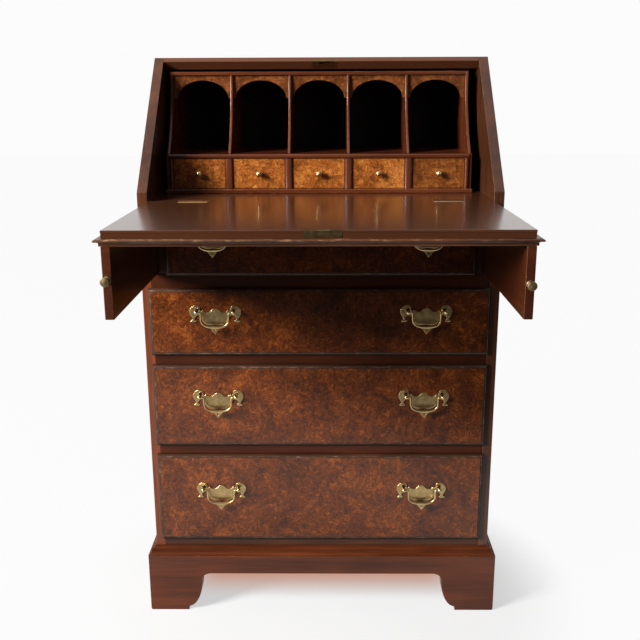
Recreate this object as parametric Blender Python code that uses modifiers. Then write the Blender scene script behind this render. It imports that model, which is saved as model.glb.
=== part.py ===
"""Slant-front writing bureau with its fall open on two pulled-out lopers.

Metres, +Z up, floor at Z 0, X across the front, the front facing -Y. Every piece hangs from an empty
on the carcass's front plane, so Y in the functions below is counted from that plane, + to the back.
"""

import math

import bmesh
import bpy
from mathutils import Matrix, Vector

# Clearances
seat_gap = 0.0003
slide_gap = 0.0005
cut_overrun = 0.003
weld_gap = 0.000003
turned_steps = 12
handle_steps = 8

# Carcass
case_width = 0.610
case_depth = 0.432
desk_rise = 0.2366
side_thickness = 0.017
top_thickness = 0.0205
top_setback = 0.214
back_thickness = 0.008

# Rails, dust boards and the drawer openings between them, from the bottom up
bottom_rail_height = 0.052
bottom_rail_depth = 0.046
dust_board_thickness = 0.009
rail_thickness = 0.033
upper_rail_thickness = 0.0316
long_opening_heights = (0.152, 0.135, 0.1035)
top_opening_height = 0.1006
bed_thickness = 0.0207

# Plinth on bracket feet
plinth_seat_height = 0.100
plinth_overlap = 0.033
plinth_moulding_height = 0.021
plinth_projection = 0.014
plinth_wall = 0.022
plinth_back_wall = 0.018
moulding_fillet_height = 0.0025
moulding_fillet_width = 0.0026
moulding_steps = 6
apron_height = 0.0756
foot_width = 0.071
foot_waist_width = 0.098
foot_arch_width = 0.115
side_foot_width = 0.080
foot_cusp_height = 0.064
foot_step_height = 0.0074

# Fall
fall_thickness = 0.021
fall_field_thickness = 0.0105
fall_lip_thickness = 0.0064
fall_lip_overhang = 0.0093
fall_lip_tip_gap = 0.0009
fall_ovolo_width = 0.0055
fall_ovolo_fillet = 0.0011
fall_side_gap = 0.0005
ovolo_steps = 4

# Lopers and the boards beside them
loper_thickness = 0.0126
loper_length = 0.410
loper_setback = 0.006
divider_board_thickness = 0.016
loper_knob_height_left = 0.0550
loper_knob_height_right = 0.0490
loper_knob_radius = 0.0065
loper_knob_reach = 0.016
loper_knob_neck_radius = 0.0030
loper_knob_rose_radius = 0.0055

# Drawers
drawer_front_thickness = 0.012
drawer_lip_projection = 0.008
drawer_lip_overlap = 0.005
drawer_side_overlap = 0.002
divider_lip_overlap = 0.0035
top_lip_sill_gap = 0.0011
top_lip_head_gap = 0.003
drawer_ovolo_width = 0.008
drawer_ovolo_fillet = 0.0008
drawer_ovolo_depth = 0.005
drawer_wall = 0.009
drawer_floor = 0.008
drawer_side_gap = 0.0010
drawer_head_gap = 0.006
drawer_back_space = 0.022

# Handles
handle_inset = 0.110
handle_rise = 0.019
post_spacing = 0.0635
post_reach = 0.0115
post_radius = 0.0019
post_collar_radius = 0.0030
post_ball_radius = 0.00375
plate_half_width = 0.0443
plate_thickness = 0.0016
plate_hole_radius = 0.0028
plate_hole_rise = 0.0056
bail_rod_radius = 0.0015
bail_half_width = 0.0238
bail_drop = 0.0265
bail_arm_drop = 0.0110
bail_pin_depth = 0.0014
bail_tip_drop = 0.0365
bail_pendant_half_width = 0.0125
bail_fullness_share = 0.80
bail_pendant_thickness = 0.0022
bail_arc_steps = 6

# Gallery
gallery_side_space = 0.0145
gallery_offset = -0.0037
gallery_head_space = 0.0045
gallery_wall = 0.005
gallery_top_thickness = 0.0062
gallery_base_thickness = 0.007
gallery_back_thickness = 0.005
gallery_base_setback = 0.114
gallery_shelf_setback = 0.130
gallery_shelf_thickness = 0.008
gallery_drawer_opening = 0.0530
gallery_front_clearance = 0.0022
gallery_back_space = 0.003
pilaster_width = 0.014
end_pilaster_width = 0.0075
pilaster_bulge = 0.004
partition_thickness = 0.008
divider_thickness = 0.005
divider_foot_setback = 0.012
divider_curve_steps = 10
shelf_nose_radius = 0.0035
valance_thickness = 0.0045
valance_setback = 0.0045
valance_foot_width = 0.0045
valance_drop = 0.0405
valance_crown_drop = 0.0090
valance_arch_steps = 14
pigeonholes = 5

# Small drawers
small_front_thickness = 0.008
small_drawer_length = 0.190
small_drawer_wall = 0.004
small_drawer_gap = 0.0004
small_knob_radius = 0.0050
small_knob_reach = 0.0135
small_knob_neck_radius = 0.0019
small_knob_rose_radius = 0.0036

# Flush hinges of the fall
hinge_inset = 0.077
hinge_length = 0.048
leaf_width = 0.015
leaf_thickness = 0.0016
knuckle_radius = 0.0022
hinge_pin_radius = 0.0009
hinge_pin_end = 0.003
hinge_bore_gap = 0.0003
centre_knuckle_share = 0.42

# Lock of the fall
lock_offset = 0.0065
lock_width = 0.051
lock_plate_thickness = 0.0015
lock_return = 0.0042
bolt_width = 0.018
bolt_thickness = 0.0045
bolt_length = 0.014
bolt_throw = 0.006

# The batwing plate's right half, from the crown of the shield round to its foot, as shares of its half width
plate_outline_shares = (
    (0.000, 0.118), (0.065, 0.108), (0.130, 0.062), (0.190, 0.000), (0.260, -0.036),
    (0.350, -0.040), (0.420, -0.008), (0.478, 0.046), (0.505, 0.030), (0.545, 0.002),
    (0.578, 0.050), (0.585, 0.130), (0.620, 0.190), (0.690, 0.228), (0.780, 0.232),
    (0.875, 0.190), (0.955, 0.110), (0.995, 0.015), (0.985, -0.090), (0.940, -0.185),
    (0.892, -0.265), (0.885, -0.325), (0.925, -0.362), (0.968, -0.400), (0.930, -0.436),
    (0.830, -0.432), (0.745, -0.415), (0.735, -0.372), (0.780, -0.345), (0.800, -0.290),
    (0.762, -0.212), (0.690, -0.165), (0.610, -0.160), (0.560, -0.205), (0.540, -0.300),
    (0.490, -0.415), (0.400, -0.500), (0.270, -0.548), (0.130, -0.548), (0.000, -0.530),
)
# The pendant under the bail, right half: across as shares of its half width, down as shares of its height
pendant_outline_shares = ((1.00, 0.00), (0.72, 0.14), (0.46, 0.27), (0.28, 0.48), (0.14, 0.76), (0.00, 1.00))
# Sections of a turned knob, from its tip down: radius and place as shares of the ball's radius
ball_shares = ((0.0, 1.0), (0.55, 0.84), (0.90, 0.42), (1.0, 0.0), (0.88, -0.46), (0.60, -0.78))

# What follows from the sizes above
case_half = case_width / 2
plinth_height = plinth_seat_height + plinth_overlap
plinth_face_height = plinth_height - plinth_moulding_height
bottom_sill_height = plinth_seat_height + bottom_rail_height
inner_half = case_half - side_thickness
board_half = inner_half - seat_gap
board_back = case_depth - back_thickness - seat_gap
rail_tops = [bottom_sill_height]
for opening_height in long_opening_heights:
    next_rail = upper_rail_thickness if len(rail_tops) == len(long_opening_heights) else rail_thickness
    rail_tops.append(rail_tops[-1] + opening_height + next_rail)
loper_floor = rail_tops[-1]
bed_underside = loper_floor + top_opening_height
writing_height = bed_underside + bed_thickness
case_height = writing_height + desk_rise
slant_corner = Vector((top_setback, case_height - writing_height))
side_edge_offset = fall_field_thickness - seat_gap
slant_angle = slant_corner.angle(Vector((1, 0))) - math.asin(side_edge_offset / slant_corner.length)
slant_reach = math.sqrt(slant_corner.length_squared - side_edge_offset ** 2)
knee_height = writing_height + side_edge_offset / math.cos(slant_angle)
fall_reach = slant_reach - fall_lip_tip_gap
fall_field_reach = fall_reach - fall_lip_overhang
fall_field_half = inner_half - fall_side_gap
fall_lip_half = fall_field_half + fall_lip_overhang
fall_closed_angle = math.pi - slant_angle
loper_reach = fall_reach - loper_setback
reach_forward = loper_reach + loper_knob_reach
front_plane = (reach_forward - case_depth) / 2
loper_outer = inner_half - slide_gap
loper_centre = loper_outer - loper_thickness / 2
divider_outer = loper_outer - loper_thickness - slide_gap
divider_inner = divider_outer - divider_board_thickness
lip_front = -drawer_lip_projection
handle_x = inner_half + drawer_side_overlap - handle_inset
gallery_half = inner_half - gallery_side_space
gallery_inner_half = gallery_half - gallery_wall
gallery_floor = writing_height + seat_gap
gallery_base_top = gallery_floor + gallery_base_thickness
shelf_underside = gallery_base_top + gallery_drawer_opening
shelf_top = shelf_underside + gallery_shelf_thickness
gallery_top = case_height - top_thickness - gallery_head_space
gallery_ceiling = gallery_top - gallery_top_thickness
gallery_back = board_back - gallery_back_space
gallery_hollow_back = gallery_back - gallery_back_thickness
gallery_top_setback = ((gallery_top - writing_height) / math.tan(slant_angle)
                       + gallery_front_clearance / math.sin(slant_angle))
small_opening = (2 * (gallery_inner_half - end_pilaster_width)
                 - (pigeonholes - 1) * pilaster_width) / pigeonholes
gallery_pitch = small_opening + pilaster_width
hinge_x = inner_half - hinge_inset


def clear_scene():
    """Remove every object, so that the file holds only the bureau."""
    for stray in list(bpy.data.objects):
        bpy.data.objects.remove(stray, do_unlink=True)


def new_collection(name):
    """Return a new collection linked to the scene."""
    made = bpy.data.collections.new(name)
    bpy.context.scene.collection.children.link(made)
    return made


clear_scene()
parts = new_collection("slant_front_bureau")
cutters = new_collection("cutters")
origin = bpy.data.objects.new("front_plane", None)
origin.location = (0, front_plane, 0)
parts.objects.link(origin)


def finish_material(name, colour, roughness, metallic=0.0):
    """Return a Principled material with one colour."""
    made = bpy.data.materials.new(name)
    made.use_nodes = True
    shader = made.node_tree.nodes["Principled BSDF"]
    shader.inputs["Base Color"].default_value = (*colour, 1)
    shader.inputs["Roughness"].default_value = roughness
    shader.inputs["Metallic"].default_value = metallic
    return made


mahogany = ("polished_mahogany", (0.13, 0.045, 0.022), 0.32)
burr_walnut = ("burr_walnut", (0.20, 0.062, 0.018), 0.28)
light_burr = ("light_burr_walnut", (0.42, 0.15, 0.03), 0.35)
dark_interior = ("stained_interior", (0.05, 0.022, 0.014), 0.6)
drawer_lining = ("drawer_lining", (0.30, 0.19, 0.10), 0.65)
aged_brass = ("aged_brass", (0.40, 0.30, 0.14), 0.36, 1.0)


def own_material(node_name, finish):
    """Return the finish as a material that belongs to this node alone."""
    name, *look = finish
    return finish_material(f"{node_name}_{name}", *look)


def local_place(place, parent):
    """Return a place counted from the front plane as one counted from its parent."""
    carried = Vector(place)
    while parent is not None and parent is not origin:
        carried = carried - parent.location
        parent = parent.parent
    return carried


def add_node(name, mesh, finish, place=(0, 0, 0), parent=None):
    """Add a piece whose mesh is built about its own place."""
    piece = bpy.data.objects.new(name, mesh)
    parts.objects.link(piece)
    piece.parent = parent or origin
    piece.location = local_place(place, parent)
    if finish:
        mesh.materials.clear()
        mesh.materials.append(own_material(name, finish))
    return piece


def add_cutter(name, mesh, place=(0, 0, 0), turn=0.0):
    """Add a hidden shape that Boolean modifiers use, turned about X."""
    shape = bpy.data.objects.new(name, mesh)
    cutters.objects.link(shape)
    shape.parent = origin
    shape.location = place
    shape.rotation_euler = (turn, 0, 0)
    shape.hide_render = True
    shape.display_type = "WIRE"
    return shape


def combine(piece, shape, operation):
    """Cut a shape out of a piece or join it on with a Boolean modifier."""
    modifier = piece.modifiers.new(f"{operation.lower()}_{shape.name}", "BOOLEAN")
    modifier.operation = operation
    modifier.solver = "EXACT"
    modifier.object = shape


def box_mesh(name, low, high):
    """Make a box from its lowest and highest corners."""
    shape = bmesh.new()
    bmesh.ops.create_cube(shape, size=1)
    low, high = Vector(low), Vector(high)
    size = high - low
    bmesh.ops.transform(shape, verts=shape.verts,
                        matrix=Matrix.Translation((low + high) / 2) @ Matrix.Diagonal((*size, 1)))
    return mesh_from(name, shape)


def mesh_from(name, shape):
    """Turn an edited shape into a mesh with its faces pointing out."""
    bmesh.ops.recalc_face_normals(shape, faces=shape.faces)
    mesh = bpy.data.meshes.new(name)
    shape.to_mesh(mesh)
    shape.free()
    return mesh


def loft_mesh(name, rings):
    """Skin a stack of rings that have equally many corners, and close both ends."""
    shape = bmesh.new()
    skinned = [[shape.verts.new(corner) for corner in ring] for ring in rings]
    count = len(rings[0])
    for near, far in zip(skinned, skinned[1:]):
        for index in range(count):
            following = (index + 1) % count
            shape.faces.new((near[index], near[following], far[following], far[index]))
    shape.faces.new(skinned[0])
    shape.faces.new(skinned[-1])
    return mesh_from(name, shape)


def outline_mesh(name, outlines, thickness, turn):
    """Extrude flat closed outlines by half their thickness each way; a second outline is a hole."""
    curve = bpy.data.curves.new(name, "CURVE")
    curve.dimensions = "2D"
    curve.fill_mode = "BOTH"
    curve.extrude = thickness / 2
    for outline in outlines:
        spline = curve.splines.new("POLY")
        spline.points.add(len(outline) - 1)
        for point, (across, up) in zip(spline.points, outline):
            point.co = (across, up, 0, 1)
        spline.use_cyclic_u = True
    return mesh_from_curve(name, curve, turn)


def mesh_from_curve(name, curve, turn):
    """Convert a curve to a mesh, weld its caps and turn it into its plane."""
    guide = bpy.data.objects.new(name, curve)
    cutters.objects.link(guide)
    graph = bpy.context.evaluated_depsgraph_get()
    converted = bpy.data.meshes.new_from_object(guide.evaluated_get(graph))
    bpy.data.objects.remove(guide, do_unlink=True)
    shape = bmesh.new()
    shape.from_mesh(converted)
    bpy.data.meshes.remove(converted)
    bmesh.ops.remove_doubles(shape, verts=shape.verts, dist=weld_gap)
    bmesh.ops.transform(shape, verts=shape.verts, matrix=turn)
    return mesh_from(name, shape)


# A flat outline stands in the XZ plane with its thickness along Y, or in the YZ plane with it along X
upright = Matrix.Rotation(math.pi / 2, 4, "X")
sideways = Matrix(((0, 0, 1, 0), (1, 0, 0, 0), (0, 1, 0, 0), (0, 0, 0, 1)))
# A flat outline that stays in the XY plane
level = Matrix.Identity(4)


def turned_mesh(name, profile, steps, turn):
    """Revolve a profile of (radius, height) points, top to bottom, with a Screw modifier."""
    line = bpy.data.meshes.new(name)
    corners = [(radius, 0, height) for radius, height in profile]
    line.from_pydata(corners, [(index, index + 1) for index in range(len(corners) - 1)], [])
    guide = bpy.data.objects.new(name, line)
    cutters.objects.link(guide)
    screw = guide.modifiers.new("turn", "SCREW")
    screw.steps = steps
    screw.render_steps = steps
    screw.use_merge_vertices = True
    screw.merge_threshold = weld_gap
    graph = bpy.context.evaluated_depsgraph_get()
    converted = bpy.data.meshes.new_from_object(guide.evaluated_get(graph))
    bpy.data.objects.remove(guide, do_unlink=True)
    shape = bmesh.new()
    shape.from_mesh(converted)
    bpy.data.meshes.remove(converted)
    bmesh.ops.remove_doubles(shape, verts=shape.verts, dist=weld_gap)
    bmesh.ops.transform(shape, verts=shape.verts, matrix=turn)
    return mesh_from(name, shape)


def rod_mesh(name, radius, low, high):
    """Make a cylinder along X between two places."""
    shape = bmesh.new()
    length = high - low
    bmesh.ops.create_cone(shape, cap_ends=True, segments=handle_steps, radius1=radius, radius2=radius,
                          depth=length)
    lay = Matrix.Translation(((low + high) / 2, 0, 0)) @ Matrix.Rotation(math.pi / 2, 4, "Y")
    bmesh.ops.transform(shape, verts=shape.verts, matrix=lay)
    return mesh_from(name, shape)


def level_ring(half, front, back, height):
    """Return the corners of a rectangle that lies level, centred on X 0."""
    return [(-half, front, height), (half, front, height), (half, back, height), (-half, back, height)]


def front_ring(half, low, high, place):
    """Return the corners of a rectangle parallel to the front, centred on X 0."""
    return [(-half, place, low), (half, place, low), (half, place, high), (-half, place, high)]


def add_box(name, low, high, finish):
    """Add a plain board from its corners, with its own place at its centre."""
    centre = (Vector(low) + Vector(high)) / 2
    return add_node(name, box_mesh(name, Vector(low) - centre, Vector(high) - centre), finish, centre)


def smooth(piece):
    """Shade a round piece smooth but for its sharp edges."""
    piece.data.shade_smooth()
    piece.data.set_sharp_from_angle(angle=math.radians(40))


def add_sides():
    """Add the two sides: boards with a vertical front up to the knee and a slant above it."""
    outline = [(0, plinth_seat_height + seat_gap), (case_depth, plinth_seat_height + seat_gap),
               (case_depth, case_height), (top_setback, case_height), (0, knee_height)]
    for name, middle in (("side_left", side_thickness / 2 - case_half),
                         ("side_right", case_half - side_thickness / 2)):
        mesh = outline_mesh(name, [outline], side_thickness, sideways)
        add_node(name, mesh, mahogany, (middle, 0, 0))


def slant_point(along, out):
    """Return (Y, Z) of a place on the closed fall: along it from the hinge, and out from its inner face."""
    return (along * math.cos(slant_angle) - out * math.sin(slant_angle),
            writing_height + along * math.sin(slant_angle) + out * math.cos(slant_angle))


def add_top():
    """Add the top board, whose front is rebated for the end of the closed fall and cut for its bolt."""
    rebate = fall_field_reach + seat_gap
    underside = case_height - top_thickness
    below = (underside - slant_point(rebate, 0)[1]) / math.cos(slant_angle)
    outline = [(board_back, underside), (board_back, case_height), (top_setback, case_height),
               slant_point(rebate, side_edge_offset), slant_point(rebate, below)]
    top = add_node("top_board", outline_mesh("top_board", [outline], 2 * board_half, sideways), mahogany)
    half = bolt_width / 2 + slide_gap
    reach = rebate + bolt_throw + slide_gap
    low = (lock_offset - half, -reach, -bolt_depth() - bolt_thickness / 2 - slide_gap)
    high = (lock_offset + half, cut_overrun - rebate, -bolt_depth() + bolt_thickness / 2 + slide_gap)
    mortise = add_cutter("bolt_mortise", box_mesh("bolt_mortise", low, high),
                         (0, 0, writing_height), -fall_closed_angle)
    combine(top, mortise, "DIFFERENCE")


def bolt_depth():
    """Return how far below the fall's face the middle of its bolt lies."""
    return fall_field_thickness / 2


def add_back():
    """Add the back board, let in between the sides under the top."""
    add_box("back_board", (-board_half, case_depth - back_thickness, plinth_seat_height + seat_gap),
            (board_half, case_depth, case_height - seat_gap), dark_interior)


def add_rail(name, top, thickness):
    """Add a front rail with its dust board behind it, flush on top, as one board with a step below."""
    outline = [(0, top - thickness), (bottom_rail_depth, top - thickness),
               (bottom_rail_depth, top - dust_board_thickness), (board_back, top - dust_board_thickness),
               (board_back, top), (0, top)]
    add_node(name, outline_mesh(name, [outline], 2 * board_half, sideways), mahogany)


def add_rails():
    """Add the bottom board and the three rails over it."""
    add_rail("bottom_board", rail_tops[0], bottom_rail_height - seat_gap)
    add_rail("drawer_rail_lower", rail_tops[1], rail_thickness)
    add_rail("drawer_rail_middle", rail_tops[2], rail_thickness)
    add_rail("drawer_rail_upper", rail_tops[3], upper_rail_thickness)


def hinge_pockets(board, side):
    """Cut the pockets of both hinges into a board; side is 1 behind the hinge line and -1 in front."""
    half = hinge_length / 2 + seat_gap
    for hand in (-1, 1):
        leaf_low = (hand * hinge_x - half, min(-side * cut_overrun, side * (leaf_width + seat_gap)),
                    writing_height - leaf_thickness - seat_gap)
        leaf_high = (hand * hinge_x + half, max(-side * cut_overrun, side * (leaf_width + seat_gap)),
                     writing_height + cut_overrun)
        groove = knuckle_radius + 2 * seat_gap
        groove_low = (leaf_low[0], min(-side * cut_overrun, side * groove), writing_height - groove)
        groove_high = (leaf_high[0], max(-side * cut_overrun, side * groove), writing_height + cut_overrun)
        for kind, low, high in (("leaf", leaf_low, leaf_high), ("knuckle", groove_low, groove_high)):
            name = f"{board.name}_{kind}_pocket_{hand}"
            combine(board, add_cutter(name, box_mesh(name, low, high)), "DIFFERENCE")


def add_bed():
    """Add the writing bed inside the case, level with the open fall."""
    bed = add_box("writing_bed", (-board_half, 0, bed_underside), (board_half, board_back, writing_height),
                  mahogany)
    hinge_pockets(bed, 1)


def add_loper_dividers():
    """Add the upright boards between the lopers and the top drawer."""
    for name, hand in (("loper_divider_left", -1), ("loper_divider_right", 1)):
        faces = sorted((hand * divider_inner, hand * divider_outer))
        add_box(name, (faces[0], 0, loper_floor + seat_gap), (faces[1], board_back, bed_underside - seat_gap),
                mahogany)


def moulding_rings():
    """Return the plinth's rings: a plain face, an S-shaped moulding over it and a small fillet."""
    rings = [level_ring(case_half + plinth_projection, -plinth_projection, case_depth, 0)]
    rise = plinth_height - moulding_fillet_height - plinth_face_height
    for step in range(moulding_steps + 1):
        share = step / moulding_steps
        fall_back = 0.5 - 0.5 * math.cos(math.pi * share)
        out = plinth_projection + (moulding_fillet_width - plinth_projection) * fall_back
        rings.append(level_ring(case_half + out, -out, case_depth, plinth_face_height + rise * share))
    fillet = moulding_fillet_width
    rings.append(level_ring(case_half + fillet, -fillet, case_depth, plinth_height))
    return rings


def bracket_outline(reach, foot, waist, arch):
    """Return the opening between two bracket feet, mirrored about 0: reach is the half width outside."""
    toe = reach - foot
    bulge = reach - waist
    crown = reach - arch
    belly = foot_cusp_height - foot_step_height
    half = [(toe, -cut_overrun), (toe, foot_step_height)]
    steps = moulding_steps
    for step in range(1, steps + 1):
        angle = math.pi / 2 * step / steps
        half.append((toe - (toe - bulge) * math.sin(angle), foot_step_height + belly * (1 - math.cos(angle))))
    for step in range(1, steps + 1):
        angle = math.pi / 2 * step / steps
        half.append((bulge - (bulge - crown) * (1 - math.cos(angle)),
                     foot_cusp_height + (apron_height - foot_cusp_height) * math.sin(angle)))
    return half + [(-across, up) for across, up in reversed(half)]


def add_plinth():
    """Add the plinth: moulded frame, bracket feet and a ledge that carries the case."""
    plinth = add_node("plinth", loft_mesh("plinth", moulding_rings()), mahogany)
    outer = case_half + plinth_projection
    hollow_half = outer - plinth_wall
    hollow_front = plinth_wall - plinth_projection
    hollow = box_mesh("plinth_hollow", (-hollow_half, hollow_front, -cut_overrun),
                      (hollow_half, case_depth - plinth_back_wall, plinth_height + cut_overrun))
    combine(plinth, add_cutter("plinth_hollow", hollow), "DIFFERENCE")
    seat = box_mesh("plinth_seat", (-case_half - seat_gap, -seat_gap, plinth_seat_height),
                    (case_half + seat_gap, case_depth + cut_overrun, plinth_height + cut_overrun))
    combine(plinth, add_cutter("plinth_seat", seat), "DIFFERENCE")
    front = bracket_outline(outer, foot_width, foot_waist_width, foot_arch_width)
    depth = 2 * (case_depth + plinth_projection + cut_overrun)
    combine(plinth, add_cutter("front_brackets", outline_mesh("front_brackets", [front], depth, upright)),
            "DIFFERENCE")
    middle = (case_depth - plinth_projection) / 2
    reach = (case_depth + plinth_projection) / 2
    flank = bracket_outline(reach, side_foot_width, side_foot_width + foot_waist_width - foot_width,
                            side_foot_width + foot_arch_width - foot_width)
    mesh = outline_mesh("side_brackets", [flank], 2 * (outer + cut_overrun), sideways)
    combine(plinth, add_cutter("side_brackets", mesh, (0, middle, 0)), "DIFFERENCE")


def ovolo(width, depth, steps):
    """Return (inset, sink) pairs of a quarter-round edge, from its inner end outwards."""
    angles = [math.pi / 2 * step / steps for step in range(steps + 1)]
    return [(width * (1 - math.sin(angle)), depth * (1 - math.cos(angle))) for angle in angles]


def add_fall():
    """Add the fall: a field that closes between the sides and a moulded lip that overlaps them."""
    rear = -seat_gap
    field_floor = writing_height - fall_field_thickness
    lip_floor = field_floor - fall_lip_thickness
    underside = writing_height - fall_thickness
    moulding_low = underside + fall_ovolo_fillet
    rings = [level_ring(fall_lip_half, -fall_reach, 2 * rear, field_floor)]
    for inset, sink in reversed(ovolo(fall_ovolo_width, lip_floor - moulding_low, ovolo_steps)):
        rings.append(level_ring(fall_lip_half - inset, inset - fall_reach, 2 * rear, moulding_low + sink))
    inset = fall_ovolo_width + fall_ovolo_fillet
    for height in (moulding_low - seat_gap, underside):
        rings.append(level_ring(fall_lip_half - inset, inset - fall_reach, 2 * rear, height))
    place = Vector((0, 0, writing_height))
    rings = [[Vector(corner) - place for corner in ring] for ring in rings]
    fall = add_node("fall_board", loft_mesh("fall_board", rings), mahogany, place)
    field = box_mesh("fall_field", (-fall_field_half, -fall_field_reach, (lip_floor + moulding_low) / 2),
                     (fall_field_half, rear, writing_height))
    combine(fall, add_cutter("fall_field", field), "UNION")
    hinge_pockets(fall, -1)
    half = lock_width / 2 + seat_gap
    front = -fall_field_reach
    cuts = (("lock_edge_recess", half, front - cut_overrun, front + lock_plate_thickness + seat_gap,
             writing_height - fall_field_thickness, writing_height + cut_overrun),
            ("lock_return_recess", half, front - cut_overrun, front + lock_return + seat_gap,
             writing_height - lock_plate_thickness - seat_gap, writing_height + cut_overrun),
            ("bolt_pocket", bolt_width / 2 + slide_gap, front - cut_overrun, front + bolt_length + slide_gap,
             writing_height - bolt_depth() - bolt_thickness / 2 - slide_gap,
             writing_height - bolt_depth() + bolt_thickness / 2 + slide_gap))
    for name, reach, near, far, low, high in cuts:
        mesh = box_mesh(name, (lock_offset - reach, near, low), (lock_offset + reach, far, high))
        combine(fall, add_cutter(name, mesh), "DIFFERENCE")
    return fall


def add_lock(fall):
    """Add the lock's angle plate, let into the fall's front edge, and the bolt that slides through it."""
    front = -fall_field_reach
    top = 0
    low = seat_gap - fall_field_thickness
    back = front + lock_plate_thickness
    outline = [(front, low), (back, low), (back, top - lock_plate_thickness),
               (front + lock_return, top - lock_plate_thickness), (front + lock_return, top), (front, top)]
    place = (lock_offset, 0, writing_height)
    plate = add_node("lock_plate", outline_mesh("lock_plate", [outline], lock_width, sideways), aged_brass,
                     place, fall)
    half = bolt_width / 2 + slide_gap
    reach = bolt_thickness / 2 + slide_gap
    middle = writing_height - bolt_depth()
    slot = box_mesh("lock_slot", (lock_offset - half, front - cut_overrun, middle - reach),
                    (lock_offset + half, back + slide_gap / 2, middle + reach))
    combine(plate, add_cutter("lock_slot", slot), "DIFFERENCE")
    mesh = box_mesh("lock_bolt", (-bolt_width / 2, 0, -bolt_thickness / 2),
                    (bolt_width / 2, bolt_length, bolt_thickness / 2))
    add_node("lock_bolt", mesh, aged_brass, (lock_offset, front, middle), fall)


def add_hinge_leaf(name, hand, side, fall):
    """Add one leaf of a flush hinge: side 1 is the bed's, with the pin, and -1 the fall's, bored for it."""
    half = hinge_length / 2
    inner = half * centre_knuckle_share
    clear = knuckle_radius + seat_gap
    ends = ((-half, -inner - seat_gap), (inner + seat_gap, half)) if side == 1 else ((-inner, inner),)
    faces = sorted((side * clear, side * leaf_width))
    plate = box_mesh(name, (-half, faces[0], -leaf_thickness), (half, faces[1], 0))
    place = (hand * hinge_x, 0, writing_height)
    leaf = add_node(name, plate, aged_brass, place, fall if side == -1 else None)
    for index, (low, high) in enumerate(ends):
        web_faces = sorted((0, side * (clear + seat_gap)))
        web = box_mesh(f"{name}_web_{index}", (low, web_faces[0], -leaf_thickness), (high, web_faces[1], 0))
        combine(leaf, add_cutter(f"{name}_web_{index}", web, place), "UNION")
        knuckle = rod_mesh(f"{name}_knuckle_{index}", knuckle_radius, low, high)
        combine(leaf, add_cutter(f"{name}_knuckle_{index}", knuckle, place), "UNION")
    if side == 1:
        pin = rod_mesh(f"{name}_pin", hinge_pin_radius, hinge_pin_end - half, half - hinge_pin_end)
        combine(leaf, add_cutter(f"{name}_pin", pin, place), "UNION")
    else:
        bore = rod_mesh(f"{name}_bore", hinge_pin_radius + hinge_bore_gap, -half, half)
        combine(leaf, add_cutter(f"{name}_bore", bore, place), "DIFFERENCE")


def add_hinges(fall):
    """Add the two flush hinges, each of a leaf in the bed and a leaf in the fall."""
    for word, hand in (("left", -1), ("right", 1)):
        add_hinge_leaf(f"bed_leaf_{word}", hand, 1, fall)
        add_hinge_leaf(f"fall_leaf_{word}", hand, -1, fall)


def knob_profile(radius, reach, neck, rose):
    """Return a turned knob's profile from its tip down to its rose: a ball on a waisted neck."""
    centre = reach - radius
    profile = [(radius * across, centre + radius * up) for across, up in ball_shares]
    waist = (centre - radius) / 2
    profile += [(neck, centre - radius), (neck, waist), (rose, waist / 2), (rose, 0), (0, 0)]
    return profile


def add_knob(name, sizes, place, parent):
    """Add a turned brass knob that points forward from a front."""
    mesh = turned_mesh(name, knob_profile(*sizes), turned_steps, upright)
    smooth(add_node(name, mesh, aged_brass, place, parent))


def add_lopers():
    """Add the two lopers, pulled out under the fall, with their knobs."""
    front = -loper_reach
    low = loper_floor + seat_gap
    hands = (("left", -1, loper_knob_height_left), ("right", 1, loper_knob_height_right))
    for word, hand, knob_height in hands:
        half = loper_thickness / 2
        top = bed_underside - slide_gap
        place = (hand * loper_centre, front, low)
        mesh = box_mesh(f"loper_{word}", (-half, 0, 0), (half, loper_length, top - low))
        loper = add_node(f"loper_{word}", mesh, mahogany, place)
        reach = loper_knob_reach - seat_gap
        sizes = (loper_knob_radius, reach, loper_knob_neck_radius, loper_knob_rose_radius)
        knob_place = (place[0], front - seat_gap, loper_floor + knob_height)
        add_knob(f"loper_knob_{word}", sizes, knob_place, loper)


def add_drawer(name, half_opening, side_lip, sill, head, lip_low, lip_high):
    """Add a lipped drawer: a moulded front and an open box behind it, made as one stack of rings."""
    lip_half = half_opening + side_lip
    place = Vector((0, lip_front, (sill + head) / 2))
    edge = ovolo(drawer_ovolo_width, drawer_ovolo_depth, ovolo_steps)
    face = drawer_ovolo_width
    rings = [front_ring(lip_half - face, lip_low + face, lip_high - face, lip_front)]
    for inset, sink in edge:
        rings.append(front_ring(lip_half - inset, lip_low + inset, lip_high - inset,
                                lip_front + drawer_ovolo_fillet + sink))
    rings.append(front_ring(lip_half, lip_low, lip_high, -seat_gap))
    body_half = half_opening - drawer_side_gap
    body_low = sill + seat_gap
    back = board_back - drawer_back_space
    block_low = max(body_low, lip_low) + seat_gap
    block_high = min(head - drawer_side_gap, lip_high) - seat_gap
    for setback in (-seat_gap, drawer_front_thickness):
        rings.append(front_ring(body_half - seat_gap, block_low, block_high, setback))
    rings = [[Vector(corner) - place for corner in ring] for ring in rings]
    drawer = add_node(name, loft_mesh(name, rings), burr_walnut, place)
    tray = box_mesh(f"{name}_tray", (-body_half, drawer_front_thickness / 2, body_low),
                    (body_half, back, head - drawer_head_gap))
    combine(drawer, add_cutter(f"{name}_tray", tray), "UNION")
    hollow = box_mesh(f"{name}_hollow",
                      (drawer_wall - body_half, drawer_front_thickness, body_low + drawer_floor),
                      (body_half - drawer_wall, back - drawer_wall, head + cut_overrun))
    combine(drawer, add_cutter(f"{name}_hollow", hollow), "DIFFERENCE")
    return drawer


def plate_outline():
    """Return the batwing plate's outline, mirrored from its right half."""
    half = [(plate_half_width * across, plate_half_width * up) for across, up in plate_outline_shares]
    return half + [(-across, up) for across, up in reversed(half[1:-1])]


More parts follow.
